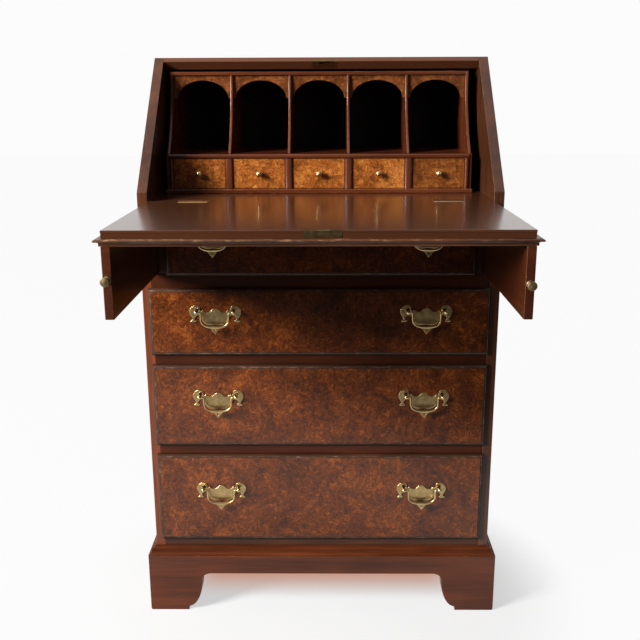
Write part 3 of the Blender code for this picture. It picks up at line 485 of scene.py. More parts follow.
def mahogany(name, colour, polish, coat, figure=1.0, worn=(0.36, 0.15, 0.06), shine=0.35):
    """Polished mahogany: long soft stripes, fine fibres and short dark pores along the grain."""
    wood = Recipe(bpy.data.materials.new(name))
    stripes = wood.noise(wood.grain(3.0, 42.0, 42.0), 1.0, 3.0, 0.55, 0.7)
    fibres = wood.noise(wood.grain(14.0, 620.0, 620.0), 1.0, 3.0, 0.6)
    pores = wood.noise(wood.grain(160.0, 2300.0, 2300.0), 1.0, 1.0).between(0.60, 0.70)
    clouds = wood.noise(wood.grain(5.0, 9.0, 9.0), 1.0, 2.0)
    tone = 0.5 + (stripes - 0.5) * figure + (fibres - 0.5) * 0.75 + (clouds - 0.5) * 0.9
    body = wood.ramp(tone, (0.16, tint(colour, 0.50)), (0.42, tint(colour, 0.86)),
                     (0.60, tint(colour, 1.16)), (0.86, tint(colour, 1.75)))
    body = wood.mix(pores * 0.5, body, tint(colour, 0.25))
    flecks = wood.noise(wood.grain(60.0, 240.0, 240.0), 1.0, 3.0, 0.7).between(0.50, 0.66)
    rubbed = wood.wear() * (0.10 + 0.55 * flecks)
    body = wood.mix(rubbed, body, worn)
    rough = polish + (fibres - 0.5) * 0.10 + pores * 0.15 + rubbed * 0.15
    relief = wood.bump(fibres * 0.5 - pores, 0.10, RELIEF)
    return wood.principled(Base_Color=body, Roughness=rough, Coat_Weight=coat,
                           Coat_Roughness=COAT_ROUGHNESS, Specular_IOR_Level=shine, Normal=relief)


def burr(name, colour, polish=0.26, coat=0.25, contrast=1.0, pale=(0.33, 0.085, 0.012), scale=1.0):
    """Burr veneer: swirled mottling of a few millimetres, larger clouds, dark outlines and pin knots."""
    wood = Recipe(bpy.data.materials.new(name))
    place = wood.grain(1.0, 1.0, 1.0)
    swirl = wood.noise(place, 38.0 * scale, 3.0, 0.55, output=1)
    bent = wood.node("ShaderNodeVectorMath", {"operation": "SCALE"}, swirl, Scale=0.046 / scale)
    bent = wood.node("ShaderNodeVectorMath", {"operation": "ADD"}, place, bent)
    mottle = wood.noise(bent, 150.0 * scale, 4.0, 0.64, 0.9)
    patch = wood.noise(place, 21.0 * scale, 4.0, 0.6, 0.8)
    lines = wood.noise(bent, 62.0 * scale, 3.0, 0.5, 1.0)
    apart = wood.node("ShaderNodeMath", {"operation": "ABSOLUTE"}, lines - 0.5)
    outline = 1.0 - apart.between(0.0, 0.035)
    knots = 1.0 - wood.node("ShaderNodeTexVoronoi", {}, bent, 120.0 * scale).between(0.10, 0.26)
    sparse = wood.noise(place, 40.0 * scale, 1.0).between(0.50, 0.60)
    flecks = wood.noise(bent, 330.0 * scale, 2.0, 0.6)
    tone = (0.5 + (mottle - 0.5) * (1.15 * contrast) + (flecks - 0.5) * (0.7 * contrast)
            + (patch - 0.5) * 1.05)
    body = wood.ramp(tone, (0.20, tint(colour, 0.34)), (0.42, tint(colour, 0.80)),
                     (0.58, tint(colour, 1.20)), (0.78, pale))
    body = wood.mix(outline * 0.38, body, tint(colour, 0.30))
    body = wood.mix(knots * sparse * 0.7, body, tint(colour, 0.18))
    body = wood.mix(wood.wear() * 0.35, body, tint(colour, 1.6))
    rough = polish + (mottle - 0.5) * 0.12
    relief = wood.bump(mottle - outline * 0.4, 0.06, RELIEF)
    return wood.principled(Base_Color=body, Roughness=rough, Coat_Weight=coat,
                           Coat_Roughness=COAT_ROUGHNESS, Specular_IOR_Level=0.35, Normal=relief)


def plain_wood(name, colour, polish):
    """Unpolished wood of drawer sides and linings, with fine fibres and dirt towards its edges."""
    wood = Recipe(bpy.data.materials.new(name))
    fibres = wood.noise(wood.grain(10.0, 420.0, 420.0), 1.0, 4.0, 0.6)
    rings = wood.noise(wood.grain(2.0, 55.0, 55.0), 1.0, 2.0, 0.5, 0.5)
    tone = 0.5 + (fibres - 0.5) * 0.8 + (rings - 0.5) * 1.1
    body = wood.ramp(tone, (0.2, tint(colour, 0.62)), (0.5, colour), (0.8, tint(colour, 1.3)))
    body = wood.mix(wood.wear() * 0.4, body, tint(colour, 0.5))
    rough = polish + (fibres - 0.5) * 0.2
    return wood.principled(Base_Color=body, Roughness=rough, Normal=wood.bump(fibres, 0.16, RELIEF))


def brass(name, dull, bright, polish, metal_share):
    """Old brass: clouded olive brown, rubbed bright on its edges, with fine pits."""
    metal = Recipe(bpy.data.materials.new(name))
    place = metal.node("ShaderNodeTexCoord", {}, output=3)
    clouds = metal.noise(place, 170.0, 4.0, 0.6)
    pits = metal.noise(place, 900.0, 2.0, 0.6)
    rubbed = clouds.between(0.35, 0.75) * 0.45 + metal.wear() * 0.7
    body = metal.mix(rubbed, dull, bright)
    body = metal.mix(pits.between(0.55, 0.75) * 0.45, body, tint(dull, 0.4))
    rough = polish + (pits - 0.5) * 0.25 + (clouds - 0.5) * 0.15
    relief = metal.bump(pits + clouds * 0.6, 0.14, 0.0003)
    return metal.principled(Base_Color=body, Metallic=metal_share, Roughness=rough, Normal=relief)


class BureauFinishes(bpy.types.PropertyGroup):
    """Colours of the bureau's woods and brass."""

    mahogany_colour: bpy.props.FloatVectorProperty(
        name="Mahogany", description="Middle colour of the gallery, lopers, rails and plinth",
        subtype="COLOR", default=(0.105, 0.024, 0.007), min=0.0, max=1.0)
    brown_colour: bpy.props.FloatVectorProperty(
        name="Faded mahogany", description="Middle colour of the case's outer boards", subtype="COLOR",
        default=(0.080, 0.0255, 0.0100), min=0.0, max=1.0)
    burr_colour: bpy.props.FloatVectorProperty(
        name="Drawer burr", description="Middle colour of the long drawers' veneer", subtype="COLOR",
        default=(0.148, 0.033, 0.005), min=0.0, max=1.0)
    light_burr_colour: bpy.props.FloatVectorProperty(
        name="Small drawer burr", description="Middle colour of the veneer in the gallery", subtype="COLOR",
        default=(0.42, 0.115, 0.018), min=0.0, max=1.0)
    moulding_colour: bpy.props.FloatVectorProperty(
        name="Drawer moulding", description="Middle colour of the drawers' moulded lips", subtype="COLOR",
        default=(0.056, 0.022, 0.011), min=0.0, max=1.0)
    lining_colour: bpy.props.FloatVectorProperty(
        name="Drawer lining", description="Colour of the drawers' sides and bottoms", subtype="COLOR",
        default=(0.28, 0.165, 0.085), min=0.0, max=1.0)
    brass_colour: bpy.props.FloatVectorProperty(
        name="Rubbed brass", description="Colour of the brass where hands keep it bright", subtype="COLOR",
        default=(0.83, 0.61, 0.30), min=0.0, max=1.0)
    tarnish_colour: bpy.props.FloatVectorProperty(
        name="Dull brass", description="Colour of the brass where it has darkened", subtype="COLOR",
        default=(0.42, 0.29, 0.125), min=0.0, max=1.0)


class BureauSizes(bpy.types.PropertyGroup):
    """Small sizes that the solids leave open."""

    board_edge: bpy.props.FloatProperty(
        name="Board edge", description="Radius of the boards' edges", subtype="DISTANCE", unit="LENGTH",
        default=0.0009, min=0.0002, max=0.003)
    fine_edge: bpy.props.FloatProperty(
        name="Fine edge", description="Radius of the edges of the top and the back boards",
        subtype="DISTANCE", unit="LENGTH", default=0.0005, min=0.0001, max=0.002)
    line_width: bpy.props.FloatProperty(
        name="Line", description="Width of the dark line round each veneered field", subtype="DISTANCE",
        unit="LENGTH", default=0.0006, min=0.0002, max=0.004)
    plate_rim: bpy.props.FloatProperty(
        name="Plate rim", description="Width of the bevel round each handle's plate", subtype="DISTANCE",
        unit="LENGTH", default=0.0006, min=0.0001, max=0.0008)


class BureauStage(bpy.types.PropertyGroup):
    """Lamps, world and lens."""

    key_power: bpy.props.FloatProperty(
        name="Key lamp", description="Power of the large lamp at the upper left, in watts",
        default=258.0, min=0.0, max=2000.0)
    fill_power: bpy.props.FloatProperty(
        name="Fill lamp", description="Power of the lamp at the right, in watts",
        default=4.0, min=0.0, max=2000.0)
    room_light: bpy.props.FloatProperty(
        name="Room light", description="Strength of the light from all round",
        default=0.045, min=0.0, max=2.0)
    lens: bpy.props.FloatProperty(
        name="Lens", description="Focal length on a 36 mm sensor", subtype="DISTANCE_CAMERA", unit="CAMERA",
        default=48.27, min=10.0, max=200.0)


finishes = {}


def mix_finishes(settings):
    """Make the bureau's finishes once, from the colours in the settings."""
    wood, brown, lip = (tuple(colour) for colour in (settings.mahogany_colour, settings.brown_colour,
                                                     settings.moulding_colour))
    dark_line = (0.018, 0.009, 0.006)
    # Finish, its material, colour, gain, roughness, coat, and what differs from plain mahogany
    polished = (
        ("carcass", "polished_mahogany", brown, 1.0, 0.28, 0.4, {}),
        # Painted light on the sides' front edges beside the drawers: the left one brighter where the key
        # lamp falls, the right one with a painted sheen
        ("painted_light_stile", "stile_mahogany", wood, 1.95, 0.30, 0.3, {}),
        ("painted_sheen_stile", "dark_stile_mahogany", brown, 1.5, 0.30, 0.4, {}),
        ("top", "top_mahogany", brown, 1.85, 0.28, 0.4, {}),
        ("fall", "fall_mahogany", brown, 1.08, 0.26, 0.46, {"figure": 0.9}),
        ("red", "red_mahogany", wood, 1.15, 0.26, 0.4, {"figure": 0.8}),
        ("loper", "loper_mahogany", wood, 0.80, 0.30, 0.25, {"figure": 0.8}),
        # The rails are darkened: painted shade for the shadow that falls between the drawers' lips
        ("rail", "rail_mahogany", wood, 0.66, 0.34, 0.06, {"figure": 0.8, "shine": 0.20}),
        ("sill", "sill_mahogany", brown, 1.15, 0.32, 0.15, {"figure": 0.8, "shine": 0.28}),
        ("plinth", "plinth_mahogany", wood, 1.08, 0.32, 0.25, {}),
        ("plinth_moulding", "plinth_moulding_mahogany", wood, 1.04, 0.34, 0.0, {"shine": 0.12}),
        # The moulding's pale grey-brown worn colour is partly rubbed wear, partly a painted highlight on
        # the lips
        ("moulding", "drawer_moulding", lip, 1.0, 0.36, 0.12,
         {"figure": 0.6, "worn": (0.42, 0.29, 0.21), "shine": 0.20}),
        ("lip", "fall_lip_mahogany", wood, 0.54, 0.34, 0.15,
         {"figure": 0.8, "worn": (0.64, 0.33, 0.15), "shine": 0.22}),
        ("band", "fall_band_mahogany", brown, 1.85, 0.34, 0.5, {"figure": 0.8}),
        ("line", "dark_line", dark_line, 1.0, 0.35, 0.5, {"figure": 0.5, "worn": (0.05, 0.03, 0.02)}),
    )
    for finish, material, colour, gain, polish, coat, others in polished:
        finishes[finish] = mahogany(material, tint(colour, gain), polish, coat, **others)
    finishes["burr"] = burr("burr_walnut_veneer", tuple(settings.burr_colour), contrast=1.1, scale=0.8)
    light, pale = tuple(settings.light_burr_colour), (0.80, 0.30, 0.06)
    veneers = [("_valance", (0.16, 0.044, 0.0085), (0.34, 0.115, 0.030))]
    # The small drawers' veneer, and copies painted darker for the light that falls off towards the right of
    # the gallery
    veneers += [(word, tint(light, gain), tint(pale, gain))
                for word, gain in (("", 0.80), ("_middle", 0.78), ("_right", 0.48))]
    for word, middle, palest in veneers:
        material = f"light_burr_veneer{word}"
        finishes[f"light_burr{word}"] = burr(material, middle, 0.30, 0.2, 1.25, palest, 1.1)
    for finish, material, colour, polish in (
            ("inside", "dark_inside", (0.012, 0.007, 0.005), 0.60),
            ("back", "stained_back", (0.055, 0.026, 0.016), 0.65),
            ("lining", "drawer_lining", tuple(settings.lining_colour), 0.62)):
        finishes[finish] = plain_wood(material, colour, polish)
    dull, bright = tuple(settings.tarnish_colour), tuple(settings.brass_colour)
    for finish, material, tarnish, rubbed, polish, metal in (
            ("brass", "aged_brass", dull, bright, 0.34, 1.0),
            ("knob_brass", "handled_brass", tint(bright, 0.9), tint(bright, 1.25), 0.22, 1.0),
            ("lock_brass", "dull_brass", tint(dull, 0.45), dull, 0.42, 1.0),
            ("loper_brass", "loper_brass", (0.17, 0.11, 0.05), (0.46, 0.33, 0.18), 0.48, 0.85),
            ("hinge_brass", "hinge_brass", tint(dull, 1.1), tint(bright, 1.3), 0.40, 0.30),
            ("screw", "screw_brass", tint(dull, 0.5), tint(dull, 1.5), 0.40, 1.0)):
        finishes[finish] = brass(material, tarnish, rubbed, polish, metal)


def slant_point(along, out):
    """Return (Y, Z) of a place on the closed fall: along it from the hinge, and out from its inner face."""
    return (FRONT + along * math.cos(SLANT_ANGLE) - out * math.sin(SLANT_ANGLE),
            WRITING + along * math.sin(SLANT_ANGLE) + out * math.cos(SLANT_ANGLE))


class BUREAU_OT_carcass(bpy.types.Operator):
    """Build the sides, top, back, rails, dust boards, writing bed and the boards beside the lopers"""

    bl_idname = "bureau.carcass"
    bl_label = "Carcass"

    def execute(self, context):
        sizes = context.scene.bureau_sizes
        # The sides' front edges beside the drawers are painted light: lit bright on the left, a painted
        # sheen on the right
        self.make_side("side_left", "painted_light_stile", sizes.board_edge)
        self.make_side("side_right", "painted_sheen_stile", sizes.board_edge)
        self.make_top(sizes.fine_edge)
        one_board("back_panel", "back_board", "back", "case", sizes.fine_edge, "Z")
        self.make_rails(sizes.board_edge)
        bed = one_board("writing_bed_board", "writing_bed", "fall", "case", CRISP_EDGE, "X")
        carve(bed, hinge_recesses(1))
        for name in ("loper_divider_left", "loper_divider_right"):
            one_board(f"{name}_board", name, "carcass", "case", SOFT_EDGE, "Z")
        return {"FINISHED"}

    def make_side(self, name, painted_light_stile, edge):
        """A side, whose front edge is upright to the knee and slanted above it. Beside the drawers that
        edge has a finish of its own, which paints light on it: on faces whose outline lies in front from
        one point to the next."""
        low, high = box(name)
        stile_top = box("drawer_rail_upper")[1][2]
        outline = rounded([(FRONT, low[2]), (high[1], low[2]), (high[1], high[2]),
                           (FRONT + TOP_SETBACK, high[2]), (FRONT, KNEE), (FRONT, stile_top)], edge)
        steps, near = 3, 1.1 * edge
        front = (outline[:, 0] < FRONT + near) & (outline[:, 1] < stile_top + near)
        beside = np.tile(front & np.roll(front, -1), 2 * steps + 1)
        form = Form(f"{name}_board")
        slab(form, outline, low[0], high[0], "X", edge, steps, grain="Z", slot=np.append(beside, (0, 0)))
        form.make([finishes["carcass"], finishes[painted_light_stile]], "case", [name])

    def make_top(self, fine_edge):
        """The top board, rebated in front for the closed fall and cut for its bolt, and the angle plate
        that the bolt shoots into. The cuts are given for the open fall and turned to the closed one."""
        low, high = box("top_board")
        rebate = FIELD_REACH + FIT
        underside = CASE_TOP - TOP_THICKNESS
        below = (underside - slant_point(rebate, 0)[1]) / math.cos(SLANT_ANGLE)
        outline = [(BOARD_BACK, underside), (BOARD_BACK, CASE_TOP), (FRONT + TOP_SETBACK, CASE_TOP),
                   slant_point(rebate, EDGE_OFFSET), slant_point(rebate, below)]
        form = Form("top_panel")
        slab(form, rounded(outline, SOFT_EDGE), low[0], high[0], "X", fine_edge)
        top = form.make([finishes["top"]], "case", ["top_board"])
        bolt_low, bolt_high = box("lock_bolt")
        middle, half, depth = (bolt_low[0] + bolt_high[0]) / 2, 0.0233, 0.0065
        leaf, reach, foot, arris = 0.0011, 0.0040, 0.0078, 0.0002
        turn = ((0, FRONT, WRITING), SLANT_ANGLE - math.pi)
        face, crown = FRONT - rebate, WRITING - EDGE_OFFSET
        mortise = ((bolt_low[0] - BOLT_GAP, face - depth, bolt_low[2] - BOLT_GAP),
                   (bolt_high[0] + BOLT_GAP, face + PAST, bolt_high[2] + BOLT_GAP))
        seats = [((middle - half, face - sunk, crown - PAST), (middle + half, face + PAST, height))
                 for sunk, height in ((leaf, WRITING + foot), (reach, crown + leaf))]
        carve(top, [mortise, *seats], turn)
        corners = ((rebate, -foot), (rebate, EDGE_OFFSET), (rebate + reach, EDGE_OFFSET),
                   (rebate + reach, EDGE_OFFSET - leaf), (rebate + leaf, EDGE_OFFSET - leaf),
                   (rebate + leaf, -foot))
        form = Form("strike_plate")
        outline = [slant_point(*corner) for corner in corners]
        slab(form, rounded(outline, 0.00025, 2), middle - half, middle + half, "X", arris, 2)
        strike = form.make([finishes["lock_brass"]], "case")
        carve(strike, [mortise], turn)

    def make_rails(self, edge):
        """Four front rails, each with its dust board behind it."""
        rail, thickness = 0.046, 0.009
        for name in ("bottom_board", "drawer_rail_lower", "drawer_rail_middle", "drawer_rail_upper"):
            low, high = box(name)
            form = Form(f"{name}_and_dust_board")
            board(form, low, (high[0], FRONT + rail, high[2]), edge, grain="X")
            board(form, (low[0], FRONT + rail, high[2] - thickness), high, INNER_EDGE, grain="X", slot=1)
            # The rails' finish is darkened as painted shade; the bottom board's is not
            front = finishes["sill" if name == "bottom_board" else "rail"]
            form.make([front, finishes["lining"]], "case", [name])


def hinge_recesses(side):
    """Return the boxes that the hinge leaves fill, with a groove round the knuckles; side is 1 behind the
    hinge line and -1 in front of it. A box's faces stand a little apart from those of the next."""
    leaf = "bed_leaf" if side == 1 else "fall_leaf"
    half_leaf, groove, apart = 0.0016, 0.0028, 0.00001
    boxes = []
    for word in ("left", "right"):
        low, high = box(f"{leaf}_{word}")
        near, far = (FRONT - PAST, high[1] + FIT) if side == 1 else (low[1] - FIT, FRONT + PAST)
        middle = (high[2] + low[2]) / 2
        boxes.append(((low[0] - FIT, near, middle - half_leaf - FIT), (high[0] + FIT, far, WRITING + PAST)))
        near, far = sorted((FRONT - side * PAST, FRONT + side * groove))
        boxes.append(((low[0] - FIT - apart, near, WRITING - groove),
                      (high[0] + FIT + apart, far, WRITING + PAST + apart)))
    return boxes


PLINTH_PROJECTION = 0.014
PLINTH_SEAT = SIDE_LOW[2] - CLEAR
PLINTH_FACE = PLINTH_SEAT + 0.012
PLINTH_WALL = 0.022
PLINTH_BACK = 0.018
# From a board's end to its foot's toe, to the cusp over it and to the crown of the opening
FRONT_FOOT = (0.071, 0.098, 0.115)
SIDE_FOOT = (0.080, 0.107, 0.124)


def bracket(reach, foot, waist, arch, steps=14):
    """Return half of the opening between two bracket feet, from its toe to its crown: an upright step, a
    quarter of an ellipse that bulges, a cusp and a quarter of an ellipse that hollows up to the apron."""
    cusp, step, apron = 0.064, 0.0074, 0.0756
    turn = np.linspace(0, math.pi / 2, steps + 1)
    toe, bulge, crown = reach - foot, reach - waist, reach - arch
    ogee = np.stack((toe - (toe - bulge) * np.sin(turn), step + (cusp - step) * (1 - np.cos(turn))), axis=1)
    hollow = np.stack((bulge - (bulge - crown) * (1 - np.cos(turn)), cusp + (apron - cusp) * np.sin(turn)),
                      axis=1)
    return np.concatenate(([(toe, 0)], ogee, hollow[1:]))


class BUREAU_OT_plinth(bpy.types.Operator):
    """Build the plinth: four boards on bracket feet, mitred at the corners, and the moulding over them"""

    bl_idname = "bureau.plinth"
    bl_label = "Plinth"

    def execute(self, context):
        edge = context.scene.bureau_sizes.board_edge
        low, high = box("plinth")
        reach, near, far = high[0], low[1], high[1]
        skin = PLINTH_PROJECTION - CLEAR
        middle, half = (near + far) / 2, (far - near) / 2
        front = bracket(reach, *FRONT_FOOT)
        across = self.opened(front, reach, PLINTH_FACE, 0.0)
        along = self.opened(bracket(half, *SIDE_FOOT), half, PLINTH_FACE, middle)
        form = Form("plinth_brackets")
        slab(form, across, near, near + skin, "Y", edge, shear=self.mitre(reach, near, True), grain="X")
        for hand in (-1, 1):
            faces = sorted((hand * reach, hand * (reach - skin)))
            slab(form, along, *faces, "X", edge, shear=self.mitre(reach, near, False), grain="Y")
        self.add_ledge(form, front, near + skin, far, reach - skin, context.scene.bureau_sizes.fine_edge)
        form.make([finishes["plinth"], finishes["back"]], "case", ["plinth"])
        self.make_moulding(far)
        return {"FINISHED"}

    def opened(self, half, reach, top, middle):
        """Return a board's whole outline round the opening, mirrored about its middle; its lower outer
        corners are worn to quarters of a circle."""
        worn, turn = 0.0035, np.linspace(0, math.pi / 2, 5)
        corner = np.stack((reach - worn * (1 - np.sin(turn)), worn * (1 - np.cos(turn))), axis=1)
        right = np.concatenate((half[::-1], corner, [(reach, top)]))
        outline = np.concatenate((right[::-1] * (-1, 1), right))
        return outline + (middle, 0)

    def mitre(self, reach, near, in_front):
        """Return a function that pulls a board's ends back to the line at half a right angle."""
        def pull(points):
            pulled = points.copy()
            across, depth = np.abs(points[..., 0]), points[..., 1]
            if in_front:
                pulled[..., 0] = np.sign(points[..., 0]) * np.minimum(across, reach - (depth - near))
            else:
                pulled[..., 1] = np.maximum(depth, near + (reach - across))
            return pulled
        return pull

    def add_ledge(self, form, front, near, far, reach, fine_edge):
        """The inner boards that carry the case, and the back board."""
        inner, back = PLINTH_WALL - PLINTH_PROJECTION, far - PLINTH_BACK
        outline = self.opened(front, reach, PLINTH_SEAT, 0.0)
        slab(form, outline, near, near + inner, "Y", INNER_EDGE, grain="X", slot=1)
        slab(form, outline, back, far, "Y", fine_edge, grain="X", slot=1)
        half, centre = (back - near - inner) / 2, (back + near + inner) / 2
        opening = bracket(half, *np.subtract(SIDE_FOOT, PLINTH_WALL))
        outline = self.opened(opening, half, PLINTH_SEAT, centre)
        for hand in (-1, 1):
            faces = sorted((hand * reach, hand * (reach - inner)))
            slab(form, outline, *faces, "X", INNER_EDGE, grain="Y", slot=1)

    def make_moulding(self, far):
        """The moulding: a section carried round three sides, whose corners are mitred. From the plinth up
        it has a cove and an ovolo, each a quarter of an ellipse, with a fillet over each. The step and
        the fillet are how far these stand out from the case."""
        turn = np.linspace(0, math.pi / 2, 9)
        low, top = PLINTH_FACE, PLINTH_SEAT + 0.0275
        step, fillet, flat = 0.0084, 0.0026, 0.0012
        neck, crown, arris, inside = low + 0.0070, top - 0.0016, 0.0003, 0.0005
        cove_low, ovolo_low = low + 0.0004, neck + flat
        cove = np.stack((step + (PLINTH_PROJECTION - step) * (1 - np.sin(turn)),
                         cove_low + (neck - cove_low) * (1 - np.cos(turn))), axis=1)
        ovolo = np.stack((fillet + 0.0008 + (step - fillet - 0.0014) * np.cos(turn),
                          ovolo_low + (crown - ovolo_low) * np.sin(turn)), axis=1)
        section = np.concatenate(([(PLINTH_PROJECTION, low)], cove, [(step, ovolo_low)], ovolo,
                                  [(fillet, crown), (fillet, top - arris), (fillet - arris, top),
                                   (inside, top), (inside, low)]))
        stations = np.array(((-CASE_HALF, far, -1, 0), (-CASE_HALF, FRONT, -1, -1),
                             (CASE_HALF, FRONT, 1, -1), (CASE_HALF, far, 1, 0)))
        points = np.empty((4, len(section), 3))
        points[..., 0] = stations[:, :1] + stations[:, 2:3] * section[:, 0]
        points[..., 1] = stations[:, 1:2] + stations[:, 3:4] * section[:, 0]
        points[..., 2] = section[:, 1]
        run = np.concatenate((np.repeat((1, 0, 1), len(section)), (1, 1)))
        form = Form("plinth_moulding")
        form.shell(points, capped_faces(4, len(section)), grain=run)
        form.make([finishes["plinth_moulding"]], "case")


# How far the fall's lip stands out from its field, and how thick the lock's plate is
LIP_REACH = 0.0093
LOCK_PLATE = 0.0015


class BUREAU_OT_fall(bpy.types.Operator):
    """Build the fall: its field, its moulded lip and the veneered outer face"""

    bl_idname = "bureau.fall"
    bl_label = "Fall"

    def execute(self, context):
        low, high = box("fall_board")
        front, floor, rear = low[1] + LIP_REACH, high[2] - FIELD_THICKNESS, high[1]
        self.make_field(front, floor, rear, high[2])
        form = Form("fall_lip")
        self.add_lip(form, low, high, floor, rear, context.scene.bureau_sizes.line_width)
        form.make([finishes["fall"], finishes["lip"], finishes["line"], finishes["burr"], finishes["band"]],
                  "fall")
        return {"FINISHED"}

    def make_field(self, front, floor, rear, top):
        """The field that closes between the sides, worn on its upper edge and cut for hinges, lock and
        bolt. Each row of its profile is how far in a rectangle lies and its height."""
        half = INNER_HALF - 0.0005
        form = Form("fall_field")
        edge, veneer, step = SOFT_EDGE, 0.0034, 0.0003
        profile = [(edge, top), (0.3 * edge, top - 0.3 * edge), (0, top - edge),
                   (0, top - veneer), (step, top - veneer - step), (step, floor)]
        stepped(form, (-half, front), (half, rear), profile, "Z", (1, 1, 1, 0),
                wears=(0.6, 1.0, 0.6, 0.3, 0.0, 0.0))
        field = form.make([finishes["fall"]], "fall", ["fall_board"])
        plate_low, plate_high = box("lock_plate")
        bolt_low, bolt_high = box("lock_bolt")
        left, right, sunk = plate_low[0] - FIT, plate_high[0] + FIT, LOCK_PLATE + FIT
        carve(field, [*hinge_recesses(-1),
                      ((left, front - PAST, floor - PAST), (right, front + sunk, WRITING + PAST)),
                      ((left, front - PAST, WRITING - sunk),
                       (right, plate_high[1] + FIT, WRITING + PAST + 0.00001)),
                      ((bolt_low[0] - BOLT_GAP, front - PAST, bolt_low[2] - BOLT_GAP),
                       (bolt_high[0] + BOLT_GAP, bolt_high[1] + BOLT_GAP, bolt_high[2] + BOLT_GAP))])

    def add_lip(self, form, low, high, top, rear, line):
        """The lip's board: a pointed nose, lightened as wear and towards its left end with a painted
        highlight, a hollow below it, then an upright band and the outer face, where a border and a dark
        line frame the veneer. Each row is how far in a rectangle lies and its height; the nose is half an
        ellipse whose upper half is drawn out to its point."""
        nose, tall, throat, drop = 0.0052, 0.0046, 0.0022, 0.0024
        inset, border, arris = 0.0066, 0.019, 0.0004
        turn = np.linspace(0, math.pi / 2, 7)
        point, under = top - 0.5 * tall, low[2]
        above = [(nose * (1 - math.sin(t)), point + (top - point) * (1 - math.sin(t) ** 2)) for t in turn]
        below = [(throat * (1 - math.cos(t)), point - 0.5 * tall * math.sin(t)) for t in turn[1:]]
        hollow = [(throat + (inset - throat) * math.sin(t), top - tall - drop * (1 - math.cos(t)))
                  for t in turn[1:]]
        profile = [(0.02, top), *above, *below, *hollow, (inset, under + arris), (inset + 0.0003, under),
                   (inset + border, under), (inset + border + line, under)]
        nosed = len(above) + len(below)
        kinds = [0] + [1] * nosed + [4] * (len(profile) - nosed - 2) + [2, 3]
        # The nose is lightened as wear, fully at its left end and far less at its right: that fade is a
        # painted highlight where the key lamp falls
        wears = np.zeros(len(profile))
        wears[2:len(above) + 5] = 1.0
        stepped(form, (low[0], low[1]), (high[0], rear), profile, "Z", (1, 1, 1, 0), kinds, wears,
                (1.0, 0.15, 0.15, 1.0))


def screw_heads(form, places, axis="Z", way=1):
    """Add slotted screw heads: each is two parts of a disc, one on either side of its slot, and every slot
    points another way."""
    radius, groove, lift, sunk = 0.0017, 0.00024, 0.00012, 0.0005
    start = math.asin(groove / radius)
    sweep = np.linspace(start, math.pi - start, 13)
    half = radius * np.stack((np.cos(sweep), np.sin(sweep)), axis=1)
    first, second, third = AXES[axis]
    for index, place in enumerate(places):
        angle = 0.5 + 1.9 * index
        turn = np.array(((math.cos(angle), math.sin(angle)), (-math.sin(angle), math.cos(angle))))
        low, high = sorted((place[third] - way * sunk, place[third] + way * lift))
        for side in (1, -1):
            outline = side * half @ turn + (place[first], place[second])
            slab(form, outline, low, high, axis, 0.00008, 1)


# The right half of the keyhole's shield, from its crown to its tip, as shares of its half width
KEYHOLE_SHIELD = ((0.0, 1.0), (0.35, 0.93), (0.62, 0.72), (0.86, 0.62), (1.0, 0.35), (0.90, 0.05),
                  (0.78, -0.25), (0.62, -0.58), (0.34, -0.86), (0.0, -1.05))


